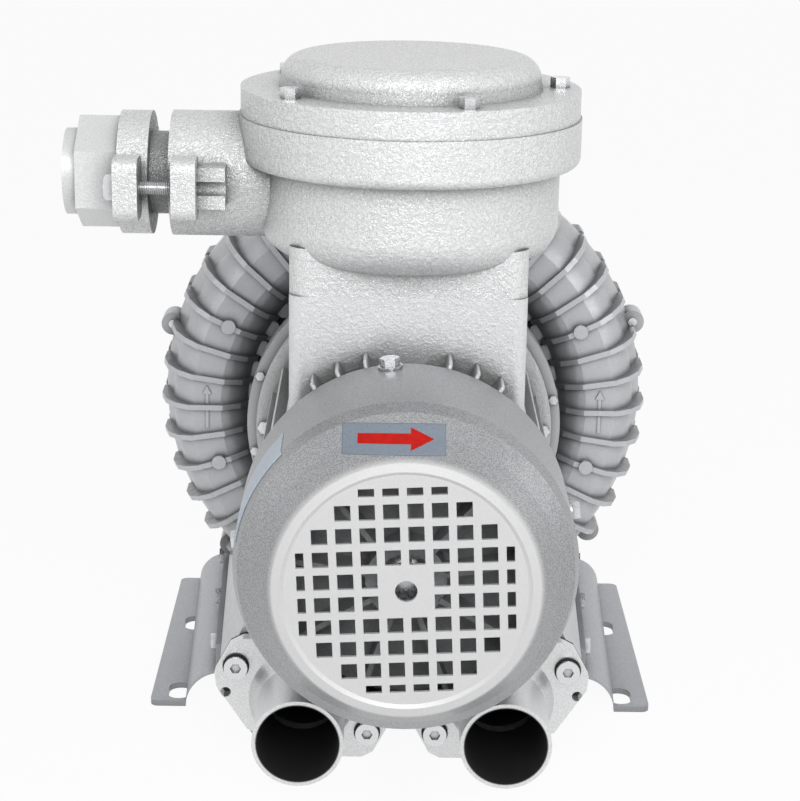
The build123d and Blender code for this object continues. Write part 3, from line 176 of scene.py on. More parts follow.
# ---- small and hidden finishes: colour, metallic, roughness --------------------------------
SMALL_FINISHES = {
    "Black rubber": ((0.018, 0.018, 0.018), 0.0, 0.65),
    "Impeller alloy": ((0.62, 0.625, 0.63), 0.9, 0.36),
    "Core steel": ((0.20, 0.205, 0.215), 0.9, 0.45),
    "Copper": ((0.50, 0.20, 0.09), 0.9, 0.38),
    "Shaft steel": ((0.50, 0.51, 0.52), 1.0, 0.22),
    "Bearing steel": ((0.65, 0.66, 0.68), 1.0, 0.14),
    "Fan plastic": ((0.30, 0.31, 0.32), 0.1, 0.45),
    "Terminal plastic": ((0.03, 0.03, 0.03), 0.0, 0.4),
    "Brass": ((0.62, 0.45, 0.18), 1.0, 0.28),
}
FOAM_COLOUR = (0.02, 0.02, 0.021)

# ---- which finish each slot of the record has ------------------------------------------------
SLOT_OF = {m["node"]: m["material_slot"] for m in frame["record"]["subparts"]}
FINISH_OF_SLOT = {
    "blower_casting": "Blower casting", "motor_casting": "Motor casting",
    "box_casting": "Box casting", "gland_casting": "Gland casting",
    "cowl_paint": "Hammered cowl", "port_casting": "Port casting", "foot_sheet": "Foot sheet",
    "zinc_steel": "Zinc steel", "black_rubber": "Black rubber", "foam": "Foam",
    "impeller_alloy": "Impeller alloy", "core_steel": "Core steel", "copper": "Copper",
    "shaft_steel": "Shaft steel", "bearing_steel": "Bearing steel", "fan_plastic": "Fan plastic",
    "terminal_plastic": "Terminal plastic", "brass": "Brass",
}

# ---- studio: each lamp's name, place, side and share of the key light ----------------------
LAMPS = (
    ("studio_front", (0.1, -1.4, 1.1), 0.9, 1.0),
    ("studio_left", (-1.3, -0.6, 0.7), 0.7, 0.06),
    ("studio_right", (1.3, -0.5, 0.7), 0.7, 0.14),
)
LAMP_AIM = (0, -50.0 * MM, SHAFT_Z)
SENSOR_WIDTH = 36.0
FLOOR_SIZE = 12.0
FLOOR_DROP = -0.2 * MM
FLOOR_GLOW = 0.94
FLOOR_COLOUR = (0.93, 0.93, 0.93, 1.0)
FLOOR_ROUGH = 0.9


# ==== settings ============================================================================
class BlowerFinish(bpy.types.PropertyGroup):
    casting: FloatVectorProperty(
        name="Blower casting", description="Silver of the ring and the port casing",
        default=(0.60, 0.61, 0.63), size=3, min=0.0, max=1.0, subtype="COLOR")
    motor: FloatVectorProperty(
        name="Motor casting", description="Silver of the finned motor frame",
        default=(0.78, 0.785, 0.795), size=3, min=0.0, max=1.0, subtype="COLOR")
    box: FloatVectorProperty(
        name="Box casting", description="Silver of the rough junction box",
        default=(0.80, 0.805, 0.81), size=3, min=0.0, max=1.0, subtype="COLOR")
    cowl: FloatVectorProperty(
        name="Cowl paint", description="Hammered silver of the fan cowl",
        default=(0.34, 0.345, 0.355), size=3, min=0.0, max=1.0, subtype="COLOR")
    grille: FloatVectorProperty(
        name="Grille face", description="Pale silver of the pressed grille",
        default=(0.70, 0.70, 0.70), size=3, min=0.0, max=1.0, subtype="COLOR")
    sheet: FloatVectorProperty(
        name="Foot sheet", description="Satin silver of the foot brackets",
        default=(0.42, 0.43, 0.45), size=3, min=0.0, max=1.0, subtype="COLOR")
    steel: FloatVectorProperty(
        name="Zinc steel", description="Plated screws and washers",
        default=(0.72, 0.73, 0.74), size=3, min=0.0, max=1.0, subtype="COLOR")
    sticker: FloatVectorProperty(
        name="Sticker", description="Ground of the rotation arrow's sticker",
        default=(0.26, 0.31, 0.37), size=3, min=0.0, max=1.0, subtype="COLOR")
    label: FloatVectorProperty(
        name="Label", description="Blank label on the cowl's left",
        default=(0.62, 0.70, 0.80), size=3, min=0.0, max=1.0, subtype="COLOR")
    arrow: FloatVectorProperty(
        name="Arrow", description="Red of the rotation arrow",
        default=(0.62, 0.015, 0.01), size=3, min=0.0, max=1.0, subtype="COLOR")
    port: FloatVectorProperty(
        name="Port casting", description="Pale silver of the port plates and pipes",
        default=(0.80, 0.805, 0.81), size=3, min=0.0, max=1.0, subtype="COLOR")
    skin_grain: FloatProperty(
        name="Casting grain", description="Size of the sand grain on the box",
        default=2.7 * MM, min=0.5 * MM, max=10 * MM, unit="LENGTH")
    skin_depth: FloatProperty(
        name="Grain depth", description="Depth of the sand grain on the box",
        default=0.75 * MM, min=0.0, max=3 * MM, unit="LENGTH")


class BlowerTrim(bpy.types.PropertyGroup):
    sticker_middle: FloatProperty(
        name="Sticker middle", description="Distance of the sticker's middle from the shaft, +X",
        default=-7.8 * MM, unit="LENGTH")
    sticker_width: FloatProperty(
        name="Sticker width", description="Width of the arrow sticker",
        default=55.0 * MM, unit="LENGTH")
    sticker_low: FloatProperty(
        name="Sticker lower edge", description="Height of the sticker's lower edge over the shaft",
        default=75.1 * MM, unit="LENGTH")
    sticker_high: FloatProperty(
        name="Sticker upper edge", description="Height of the sticker's upper edge over the shaft",
        default=87.6 * MM, unit="LENGTH")
    fin_tip: FloatProperty(
        name="Fin tip radius", description="Radius of the cooling fins' tips at the column",
        default=98.5 * MM, min=90 * MM, unit="LENGTH")
    thread_pitch: FloatProperty(
        name="Thread pitch", description="Pitch of the gland bolts",
        default=1.25 * MM, min=0.3 * MM, unit="LENGTH")


class BlowerStudio(bpy.types.PropertyGroup):
    lens: FloatProperty(
        name="Lens", description="Focal length of the studio camera",
        default=95.40, min=10.0, unit="CAMERA")
    pitch: FloatProperty(name="Camera pitch", description="Downward tilt",
                         default=radians(16.67), unit="ROTATION")
    yaw: FloatProperty(name="Camera yaw", description="Turn towards +X",
                       default=radians(0.46), unit="ROTATION")
    roll: FloatProperty(name="Camera roll", description="Lift of the camera's right side",
                        default=radians(0.96), unit="ROTATION")
    place: FloatVectorProperty(
        name="Camera place", description="Where the camera stands",
        default=(-13.48 * MM, -1344.72 * MM, 591.05 * MM), size=3, subtype="XYZ", unit="LENGTH")
    ambient: FloatProperty(
        name="Ambient", description="Strength of the studio's even light", default=0.30, min=0.0)
    key: FloatProperty(
        name="Key light", description="Power of the large light in front", default=14.0,
        min=0.0, unit="POWER")


# ==== node helpers ========================================================================
# a Mix node has its colour sockets after those for numbers and vectors
MIX_FIRST = 6
MIX_SECOND = 7
MIX_RESULT = 2


def wire(tree, source, target):
    """Link one socket to another."""
    tree.links.new(source, target)


def node(tree, kind, **values):
    """New node with its own properties set."""
    made = tree.nodes.new(kind)
    for name, value in values.items():
        setattr(made, name, value)
    return made


def maths(tree, operation, first, second=None, clamp=False):
    """One Math node; a number goes on its socket and a socket is linked."""
    made = node(tree, "ShaderNodeMath", operation=operation, use_clamp=clamp)
    for socket, value in zip(made.inputs, (first, second)):
        if value is None:
            continue
        if isinstance(value, (int, float)):
            socket.default_value = value
        else:
            wire(tree, value, socket)
    return made.outputs[0]


def span(tree, value, low, high, to_low=0.0, to_high=1.0):
    """Map a value from low..high to to_low..to_high, held at its ends."""
    made = node(tree, "ShaderNodeMapRange", interpolation_type="SMOOTHSTEP")
    wire(tree, value, made.inputs["Value"])
    made.inputs["From Min"].default_value = low
    made.inputs["From Max"].default_value = high
    made.inputs["To Min"].default_value = to_low
    made.inputs["To Max"].default_value = to_high
    return made.outputs["Result"]


def blend_colours(tree, factor, first, second):
    """Mix two colours by a socket; each colour is a socket or three numbers."""
    made = node(tree, "ShaderNodeMix", data_type="RGBA")
    wire(tree, factor, made.inputs[0])
    for place, value in ((MIX_FIRST, first), (MIX_SECOND, second)):
        socket = made.inputs[place]
        if isinstance(value, bpy.types.NodeSocket):
            wire(tree, value, socket)
        else:
            socket.default_value = (*value, 1.0)
    return made.outputs[MIX_RESULT]


def group(name, inputs, outputs):
    """Empty shader node group with float inputs and typed outputs."""
    made = bpy.data.node_groups.new(name, "ShaderNodeTree")
    for label, default in inputs:
        socket = made.interface.new_socket(label, in_out="INPUT", socket_type="NodeSocketFloat")
        socket.default_value = default
    for label, kind in outputs:
        made.interface.new_socket(label, in_out="OUTPUT", socket_type=kind)
    return made, node(made, "NodeGroupInput"), node(made, "NodeGroupOutput")


def grain_group():
    """Height, tone and creases of a grained skin.

    Two noises add up, the finer one at about three times the scale.  A crease runs where the coarse
    noise crosses its middle value, and it is cut into the height.
    """
    tree, enter, leave = group("Skin grain", [("Size", 3.0 * MM), ("Roughen", FINE_SHARE)],
                               [("Height", "NodeSocketFloat"), ("Tone", "NodeSocketFloat"),
                                ("Crease", "NodeSocketFloat")])
    place = node(tree, "ShaderNodeTexCoord")
    coarse = node(tree, "ShaderNodeTexNoise")
    fine = node(tree, "ShaderNodeTexNoise")
    scale = maths(tree, "DIVIDE", 1.0, enter.outputs["Size"])
    wire(tree, scale, coarse.inputs["Scale"])
    wire(tree, maths(tree, "MULTIPLY", scale, FINE_SCALE), fine.inputs["Scale"])
    for made, detail in ((coarse, COARSE_DETAIL), (fine, FINE_DETAIL)):
        wire(tree, place.outputs["Object"], made.inputs["Vector"])
        made.inputs["Detail"].default_value = detail
    share = maths(tree, "MULTIPLY", fine.outputs[0], enter.outputs["Roughen"])
    from_middle = maths(tree, "SUBTRACT", coarse.outputs[0], NOISE_MIDDLE)
    off_middle = maths(tree, "ABSOLUTE", from_middle)
    crease = span(tree, off_middle, 0.0, CREASE_WIDTH, 1.0, 0.0)
    cut = maths(tree, "MULTIPLY", crease, CREASE_CUT)
    bulk = maths(tree, "ADD", coarse.outputs[0], share)
    wire(tree, maths(tree, "SUBTRACT", bulk, cut), leave.inputs["Height"])
    wire(tree, crease, leave.inputs["Crease"])
    wire(tree, span(tree, coarse.outputs[0], *TONE_RANGE), leave.inputs["Tone"])
    return tree


def speckle_group():
    """Fine salt and pepper flakes of a metallic paint: noise at flake size, pushed apart."""
    tree, enter, leave = group("Paint flakes", [("Size", FLAKE_SIZE)],
                               [("Flake", "NodeSocketFloat")])
    place = node(tree, "ShaderNodeTexCoord")
    flake = node(tree, "ShaderNodeTexNoise")
    wire(tree, maths(tree, "DIVIDE", 1.0, enter.outputs["Size"]), flake.inputs["Scale"])
    wire(tree, place.outputs["Object"], flake.inputs["Vector"])
    flake.inputs["Detail"].default_value = FLAKE_DETAIL
    wire(tree, span(tree, flake.outputs[0], *FLAKE_RANGE), leave.inputs["Flake"])
    return tree


def recess_shade_group():
    """Painted shade in recesses: one minus the open sky round a point, over a short reach, which
    darkens the colour where shade falls.
    """
    tree, enter, leave = group("Recess", [("Reach", 12.0 * MM)], [("Recess", "NodeSocketFloat")])
    shade = node(tree, "ShaderNodeAmbientOcclusion", samples=SKY_SAMPLES)
    wire(tree, enter.outputs["Reach"], shade.inputs["Distance"])
    wire(tree, span(tree, shade.outputs["AO"], *SKY_RANGE, 1.0, 0.0), leave.inputs["Recess"])
    return tree


def sees_background(tree):
    """One for camera, glossy and transmission rays, and nought for those that carry light."""
    light = node(tree, "ShaderNodeLightPath")
    mirror = maths(tree, "ADD", light.outputs["Is Glossy Ray"],
                   light.outputs["Is Transmission Ray"], clamp=True)
    return maths(tree, "ADD", light.outputs["Is Camera Ray"], mirror, clamp=True)


def shaded(colour, share):
    """A colour times a share, held at one."""
    return tuple(min(1.0, c * share) for c in colour)


def place_group(tree, shared, **values):
    """Shared group placed in a material with the material's own values."""
    made = node(tree, "ShaderNodeGroup")
    made.node_tree = shared
    for name, value in values.items():
        made.inputs[name].default_value = value
    return made


class Kit:
    """Shared node groups and the finished materials."""
    groups = {}
    finishes = {}


def new_finish(name):
    """Named material with one Principled shader; gives its tree and shader."""
    material = bpy.data.materials.new(name)
    material.use_nodes = True
    tree = material.node_tree
    tree.nodes.clear()
    shader = node(tree, "ShaderNodeBsdfPrincipled")
    leave = node(tree, "ShaderNodeOutputMaterial")
    wire(tree, shader.outputs[0], leave.inputs["Surface"])
    Kit.finishes[name] = material
    return tree, shader


def bump(tree, shader, height, depth):
    """Turn a height into the shader's normal."""
    made = node(tree, "ShaderNodeBump")
    made.inputs["Strength"].default_value = 1.0
    made.inputs["Distance"].default_value = depth
    wire(tree, height, made.inputs["Height"])
    wire(tree, made.outputs[0], shader.inputs["Normal"])


def metal(name, colour, metallic, rough, grain, depth, contrast, crease, recess, reach):
    """Grained, flaked silver metal with painted shade: its colour darkens in its creases and
    recesses, where shade falls.
    """
    tree, shader = new_finish(name)
    skin = place_group(tree, Kit.groups["grain"], Size=grain, Roughen=FINE_SHARE)
    specks = place_group(tree, Kit.groups["speckle"], Size=FLAKE_SIZE)
    painted_recess_shade = place_group(tree, Kit.groups["recess_shade"], Reach=reach)
    # dark copy of the colour, used as painted shade
    painted_shade_colour = shaded(colour, PAINTED_SHADE_SHARE)
    tone = blend_colours(tree, specks.outputs["Flake"], shaded(colour, 1 - contrast),
                         shaded(colour, 1 + contrast))
    # painted shade along the grain's creases
    lines = maths(tree, "MULTIPLY", skin.outputs["Crease"], crease)
    creased = blend_colours(tree, lines, tone, painted_shade_colour)
    # painted shade in recesses, from the open sky round each point
    shadow = maths(tree, "MULTIPLY", painted_recess_shade.outputs["Recess"], recess)
    wire(tree, blend_colours(tree, shadow, creased, painted_shade_colour), shader.inputs["Base Color"])
    wire(tree, span(tree, skin.outputs["Tone"], 0.0, 1.0, rough - ROUGH_BELOW, rough + ROUGH_ABOVE),
         shader.inputs["Roughness"])
    shader.inputs["Metallic"].default_value = metallic
    bump(tree, shader, skin.outputs["Height"], depth)


def plain(name, colour, metallic, rough, grain=2.0 * MM, depth=0.05 * MM, gloss=0.5):
    """Hidden or small trim: one colour broken up by its grain."""
    tree, shader = new_finish(name)
    skin = place_group(tree, Kit.groups["grain"], Size=grain, Roughen=SMOOTH_SHARE)
    tone = skin.outputs["Tone"]
    wire(tree, blend_colours(tree, tone, shaded(colour, PLAIN_DARK), colour),
         shader.inputs["Base Color"])
    wire(tree, span(tree, tone, 0.0, 1.0, rough, min(1.0, rough + PLAIN_ROUGH_ABOVE)),
         shader.inputs["Roughness"])
    shader.inputs["Metallic"].default_value = metallic
    shader.inputs["Specular IOR Level"].default_value = gloss
    bump(tree, shader, skin.outputs["Height"], depth)


def line_radius(tree, x, z):
    """Distance from a line along Y that passes through x and z."""
    place = node(tree, "ShaderNodeTexCoord")
    parts = node(tree, "ShaderNodeSeparateXYZ")
    wire(tree, place.outputs["Object"], parts.inputs[0])
    across = maths(tree, "SUBTRACT", parts.outputs[0], x)
    up = maths(tree, "SUBTRACT", parts.outputs[2], z)
    squares = maths(tree, "ADD", maths(tree, "MULTIPLY", across, across),
                    maths(tree, "MULTIPLY", up, up))
    return maths(tree, "SQRT", squares)


def cowl_paint(colour, grille):
    """Hammered silver outside; the pressed grille in the middle is paler and smoother."""
    tree, shader = new_finish("Hammered cowl")
    specks = place_group(tree, Kit.groups["speckle"], Size=COWL_FLAKE_SIZE)
    skin = place_group(tree, Kit.groups["grain"], Size=COWL_GRAIN, Roughen=SMOOTH_SHARE)
    face = span(tree, line_radius(tree, 0.0, SHAFT_Z), *GRILLE_EDGE, 1.0, 0.0)
    flake = specks.outputs["Flake"]
    tone = blend_colours(tree, flake, shaded(colour, COWL_DARK), shaded(colour, COWL_LIGHT))
    smooth = blend_colours(tree, flake, shaded(grille, GRILLE_DARK), grille)
    wire(tree, blend_colours(tree, face, tone, smooth), shader.inputs["Base Color"])
    wire(tree, span(tree, face, 0.0, 1.0, COWL_ROUGH, GRILLE_ROUGH), shader.inputs["Roughness"])
    wire(tree, span(tree, face, 0.0, 1.0, COWL_METALLIC, GRILLE_METALLIC),
         shader.inputs["Metallic"])
    bump(tree, shader, skin.outputs["Height"], COWL_DEPTH)


def port_finish(colour):
    """Cast plate and pipe outside, and the bore painted near black as painted shade of the deep
    pipe.
    """
    tree, shader = new_finish("Port casting")
    specks = place_group(tree, Kit.groups["speckle"], Size=FLAKE_SIZE)
    skin = place_group(tree, Kit.groups["grain"], Size=PORT_GRAIN, Roughen=FINE_SHARE)
    radius = maths(tree, "MINIMUM", line_radius(tree, -PORT_X, PORT_Z),
                   line_radius(tree, PORT_X, PORT_Z))
    bore = span(tree, radius, *BORE_EDGE, 1.0, 0.0)
    tone = blend_colours(tree, specks.outputs["Flake"], shaded(colour, PORT_DARK), colour)
    # painted shade inside the bore
    wire(tree, blend_colours(tree, bore, tone, PAINTED_BORE_SHADE), shader.inputs["Base Color"])
    wire(tree, span(tree, bore, 0.0, 1.0, PORT_ROUGH, BORE_ROUGH), shader.inputs["Roughness"])
    wire(tree, span(tree, bore, 0.0, 1.0, PORT_METALLIC, 0.0), shader.inputs["Metallic"])
    bump(tree, shader, skin.outputs["Height"], PORT_DEPTH)


# ==== surfaces ============================================================================
def surface(name, points, closed=False, ends=False):
    """Mesh object of a grid of points, an array of (rows, columns, 3).

    Each face joins point (i, j) to its next row and next column; a closed surface also joins
    its last column to its first.  With ends, one flat face closes the first row and one the
    last, and the faces are turned outwards.
    """
    rows, columns, _ = points.shape
    i = np.arange(rows - 1)
    j = np.arange(columns if closed else columns - 1)
    a, b = np.meshgrid(i, j, indexing="ij")
    up, along = a + 1, (b + 1) % columns
    quads = np.stack([a * columns + b, up * columns + b, up * columns + along,
                      a * columns + along], axis=-1).reshape(-1, 4)
    faces = quads.tolist()
    if ends:
        faces += [list(range(columns)), list(range((rows - 1) * columns, rows * columns))]
    mesh = bpy.data.meshes.new(name)
    mesh.from_pydata(points.reshape(-1, 3), [], faces)
    mesh.validate()
    if ends:
        turn_outwards(mesh)
    mesh.update()
    made = bpy.data.objects.new(name, mesh)
    bpy.context.scene.collection.objects.link(made)
    mesh.polygons.foreach_set("use_smooth", np.ones(len(mesh.polygons), bool))
    return made


def turn_outwards(mesh):
    """Recalculate a closed mesh's faces so that they point outwards."""
    work = bmesh.new()
    work.from_mesh(mesh)
    bmesh.ops.recalc_face_normals(work, faces=work.faces)
    work.to_mesh(mesh)
    work.free()


def join_pieces(name, pieces):
    """One object of several meshes that all sit at the origin."""
    work = bmesh.new()
    for piece in pieces:
        work.from_mesh(piece.data)
        bpy.data.objects.remove(piece)
    mesh = bpy.data.meshes.new(name)
    work.to_mesh(mesh)
    work.free()
    made = bpy.data.objects.new(name, mesh)
    bpy.context.scene.collection.objects.link(made)
    return made


def cowl_face(radius):
    """Y of the cowl's front at a radius: the crest, then straight runs out to the rim."""
    return np.interp(radius, COWL_PROFILE_R, COWL_PROFILE_Y)


def arrow_mask(along, up):
    """True inside a right-pointing arrow: a shaft, and a head that narrows to its tip.

    along and up run from -1 to 1 over the sticker.
    """
    off = np.abs(up)
    shaft = (along > ARROW_TAIL) & (along < ARROW_NECK) & (off < ARROW_SHAFT_HALF)
    narrowing = ARROW_HEAD_HALF * (ARROW_TIP - along) / ARROW_HEAD_LENGTH
    head = (along >= ARROW_NECK) & (along < ARROW_TIP) & (off < narrowing)
    return shaft | head


def wrap_on_cowl(middle, width, low, high, lift, rows=SHEET_ROWS, columns=SHEET_COLUMNS):
    """Points of a straight-edged sheet laid on the cowl's front.

    A row's radius squared is its height over the shaft squared plus a share of X squared, as a
    flat sheet takes on a cone.  The radius and X give Z, and the cowl's profile at that radius,
    less the lift, gives Y.
    """
    across = middle + np.linspace(-0.5, 0.5, columns) * width
    height = np.linspace(low, high, rows)
    h, x = np.meshgrid(height, across, indexing="ij")
    radius = np.sqrt(h * h + SHEET_LAY * x * x)
    return np.stack([x, cowl_face(radius) - lift, SHAFT_Z + np.sqrt(radius * radius - x * x)],
                    axis=-1)


def finish_piece(made, material, body):
    """Give a new piece its material and body."""
    made.data.materials.append(material)
    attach(made, body)


def thicken(made, thickness):
    """Solid wall on a patch, applied to its mesh."""
    solid = made.modifiers.new("Wall", "SOLIDIFY")
    solid.thickness = thickness
    solid.offset = 0.0
    graph = bpy.context.evaluated_depsgraph_get()
    mesh = bpy.data.meshes.new_from_object(made.evaluated_get(graph))
    made.modifiers.clear()
    made.data = mesh


def keep_faces(made, inside):
    """Rebuild a mesh with only the faces marked in a boolean array."""
    old = made.data
    places = np.zeros(len(old.vertices) * 3)
    old.vertices.foreach_get("co", places)
    corners = np.zeros(len(old.loops), int)
    old.loops.foreach_get("vertex_index", corners)
    quads = corners.reshape(-1, 4)[inside]
    used, renumbered = np.unique(quads, return_inverse=True)
    mesh = bpy.data.meshes.new(old.name)
    mesh.from_pydata(places.reshape(-1, 3)[used], [], renumbered.reshape(-1, 4))
    mesh.update()
    made.data = mesh


def full_turn(count):
    """Angles of a whole turn in equal steps, without the last, which is the first again."""
    return np.linspace(0.0, 2 * pi, count + 1)[:-1]


def hexagon(angle, apothem):
    """Radius of a hexagon at an angle: its apothem over the cosine of the turn from a flat's
    middle, which repeats six times.
    """
    return apothem / np.cos((angle + pi / 6) % (pi / 3) - pi / 6)


def threaded_bolt(name, x_from, x_to, y, z, pitch):
    """Hexagon bolt along X whose thread is cut into its shank.

    The head's radius is the hexagon's, held to a smaller circle at its chamfered face.  The
    shank's swings between root and crest as a triangle wave of angle and place, so the ridge
    climbs one pitch each turn and never stands over the shank.  The head and the two end
    faces are shaded flat.
    """
    neck = x_from + BOLT_HEAD
    rows = int((x_to - neck - BOLT_PLAIN) / pitch * THREAD_ROWS)
    angle = full_turn(BOLT_COLUMNS)
    wound = np.linspace(neck + BOLT_PLAIN, x_to, rows)
    xx, aa = np.meshgrid(wound, angle, indexing="ij")
    wave = np.abs(2 * ((xx / pitch - aa / (2 * pi)) % 1.0) - 1)
    cut = BOLT_R - THREAD_CUT * wave
    head = hexagon(angle, BOLT_APOTHEM)
    shank = np.full_like(angle, BOLT_R)
    radius = np.vstack([np.minimum(head, BOLT_APOTHEM - BOLT_CHAMFER / 2), head, head, shank,
                        shank, cut])
    x = np.concatenate([[x_from, x_from + BOLT_CHAMFER, neck, neck, neck + BOLT_PLAIN], wound])
    points = np.stack([np.broadcast_to(x[:, None], radius.shape), y + radius * np.cos(angle),
                       z + radius * np.sin(angle)], axis=-1)
    made = surface(name, points, closed=True, ends=True)
    smooth = np.arange(len(made.data.polygons)) >= BOLT_FLAT_ROWS * BOLT_COLUMNS
    smooth[-2:] = False
    made.data.polygons.foreach_set("use_smooth", smooth)
    return made


def wrap_on_side(turn_from, turn_to, y_from, y_to, lift):
    """Points of a sheet on the cowl's side.

    An angle from the top runs along the sheet and Y across it, and the cowl's radius at that
    Y plus the lift gives X and Z.
    """
    a, y = np.meshgrid(np.linspace(turn_from, turn_to, SHEET_COLUMNS),
                       np.linspace(y_from, y_to, SHEET_ROWS))
    radius = np.interp(y, COWL_PROFILE_Y, COWL_PROFILE_R) + lift
    return np.stack([radius * np.sin(a), y, SHAFT_Z + radius * np.cos(a)], axis=-1)


def fin_end(name, turn, y_from, y_to, root, tip, half):
    """End of one cooling fin, seen between the cowl and the column.

    Its section is a superellipse, whose powers of cosine and sine give a plate with rounded
    corners, narrowed towards the tip.  The section is carried along Y and turned about the shaft.
    """
    t = full_turn(FIN_COLUMNS)
    y = np.linspace(y_from, y_to, FIN_ROWS)
    up = np.sign(np.sin(t)) * np.abs(np.sin(t)) ** FIN_CORNER
    across = np.sign(np.cos(t)) * np.abs(np.cos(t)) ** FIN_CORNER * half * (1 - FIN_TAPER * up)
    radius = (root + tip) / 2 + (tip - root) / 2 * up
    yy, aa = np.meshgrid(y, across, indexing="ij")
    rr = np.broadcast_to(radius, yy.shape)
    x = rr * sin(turn) + aa * cos(turn)
    z = SHAFT_Z + rr * cos(turn) - aa * sin(turn)
    return surface(name, np.stack([x, yy, z], axis=-1), closed=True, ends=True)


# ==== operators ===========================================================================
class BLOWER_OT_finishes(bpy.types.Operator):
    """Build the shared grain and every material."""
    bl_idname = "blower.finishes"
    bl_label = "Make finishes"

    def execute(self, context):
        look = context.scene.blower_finish
        Kit.groups = {"grain": grain_group(), "speckle": speckle_group(), "recess_shade": recess_shade_group()}
        # crease and recess set the strength of the painted shade in creases and recesses
        metal("Blower casting", tuple(look.casting), metallic=0.42, rough=0.34, grain=4.0 * MM,
              depth=0.10 * MM, contrast=0.05, crease=0.04, recess=0.96, reach=36.0 * MM)
        metal("Motor casting", tuple(look.motor), metallic=0.38, rough=0.36, grain=3.0 * MM,
              depth=0.45 * MM, contrast=0.05, crease=0.12, recess=0.94, reach=28.0 * MM)
        metal("Box casting", tuple(look.box), metallic=0.36, rough=0.32, grain=look.skin_grain,
              depth=look.skin_depth, contrast=0.04, crease=0.24, recess=0.96, reach=30.0 * MM)
        metal("Gland casting", tuple(look.box), metallic=0.38, rough=0.36, grain=1.6 * MM,
              depth=0.08 * MM, contrast=0.06, crease=0.04, recess=0.96, reach=26.0 * MM)
        metal("Foot sheet", tuple(look.sheet), metallic=0.75, rough=0.38, grain=1.5 * MM,
              depth=0.04 * MM, contrast=0.04, crease=0.04, recess=0.6, reach=18.0 * MM)
        metal("Zinc steel", tuple(look.steel), metallic=1.0, rough=0.24, grain=1.0 * MM,
              depth=0.03 * MM, contrast=0.04, crease=0.05, recess=0.9, reach=6.0 * MM)
        cowl_paint(tuple(look.cowl), tuple(look.grille))
        port_finish(tuple(look.port))
        for name, (colour, metallic, rough) in SMALL_FINISHES.items():
            plain(name, colour, metallic, rough)
        plain("Foam", FOAM_COLOUR, metallic=0.0, rough=0.9, grain=3.0 * MM, depth=0.8 * MM)
        plain("Sticker", tuple(look.sticker), metallic=0.0, rough=0.42, grain=0.8 * MM,
              depth=0.01 * MM, gloss=0.25)
        plain("Label", tuple(look.label), metallic=0.0, rough=0.35, grain=1.5 * MM,
              depth=0.01 * MM, gloss=0.3)
        plain("Arrow red", tuple(look.arrow), metallic=0.0, rough=0.40, grain=4.0 * MM,
              depth=0.01 * MM, gloss=0.15)
        return {"FINISHED"}


class BLOWER_OT_dress(bpy.types.Operator):
    """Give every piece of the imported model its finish."""
    bl_idname = "blower.dress"
    bl_label = "Dress the model"

    def execute(self, context):
        for name, piece in frame["nodes"].items():
            piece.data.materials.clear()
            piece.data.materials.append(Kit.finishes[FINISH_OF_SLOT[SLOT_OF[name]]])
        return {"FINISHED"}


class BLOWER_OT_arrow(bpy.types.Operator):
    """Plain rotation arrow on the fan cowl."""
    bl_idname = "blower.arrow"
    bl_label = "Rotation arrow"

    def execute(self, context):
        trim = context.scene.blower_trim
        shape = (trim.sticker_middle, trim.sticker_width, trim.sticker_low, trim.sticker_high)
        ground = surface("arrow_sticker", wrap_on_cowl(*shape, STICKER_LIFT))
        thicken(ground, STICKER_THICK)
        finish_piece(ground, Kit.finishes["Sticker"], "frame")
        mark = surface("rotation_arrow", wrap_on_cowl(*shape, STICKER_LIFT + STICKER_THICK,
                                                      MARK_ROWS, MARK_COLUMNS))
        up, along = np.meshgrid(np.linspace(-1, 1, MARK_ROWS - 1),
                                np.linspace(-1, 1, MARK_COLUMNS - 1), indexing="ij")
        keep_faces(mark, arrow_mask(along, up).ravel())
        thicken(mark, STICKER_THICK)
        finish_piece(mark, Kit.finishes["Arrow red"], "frame")
        return {"FINISHED"}


class BLOWER_OT_label(bpy.types.Operator):
    """Blank label on the left of the fan cowl."""
    bl_idname = "blower.label"
    bl_label = "Blank label"

    def execute(self, context):
        points = wrap_on_side(LABEL_FROM, LABEL_TO, LABEL_FRONT_Y, LABEL_BACK_Y, STICKER_LIFT)
        sheet = surface("blank_label", points)
        thicken(sheet, STICKER_THICK)
        finish_piece(sheet, Kit.finishes["Label"], "frame")
        return {"FINISHED"}


class BLOWER_OT_fins(bpy.types.Operator):
    """Ends of the cooling fins between the cowl and the column."""
    bl_idname = "blower.fins"
    bl_label = "Fin ends"

    def execute(self, context):
        tip = context.scene.blower_trim.fin_tip
        made = []
        for turn in FIN_TURNS:
            for side in (-1, 1):
                made.append(fin_end("fin", side * turn, FIN_FRONT_Y, FIN_BACK_Y, FIN_ROOT_R, tip,
                                    FIN_HALF))
        finish_piece(join_pieces("motor_fin_ends", made), Kit.finishes["Motor casting"], "frame")
        return {"FINISHED"}


class BLOWER_OT_bolts(bpy.types.Operator):
    """Two gland bolts with cut threads, in place of the plain ones."""
    bl_idname = "blower.bolts"
    bl_label = "Gland bolts"

    def execute(self, context):
        pitch = context.scene.blower_trim.thread_pitch
        spread = (BOLTS_HIGH.y - BOLTS_LOW.y) / 2 - BOLT_APOTHEM
        made = [threaded_bolt("bolt", BOLTS_LOW.x, BOLTS_HIGH.x, GLAND_Y + side * spread, GLAND_Z,
                              pitch) for side in (-1, 1)]
        bolts = join_pieces("threaded_gland_bolts", made)
        finish_piece(bolts, Kit.finishes["Zinc steel"], "gland_clamp")
        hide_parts("gland_bolts")
        return {"FINISHED"}


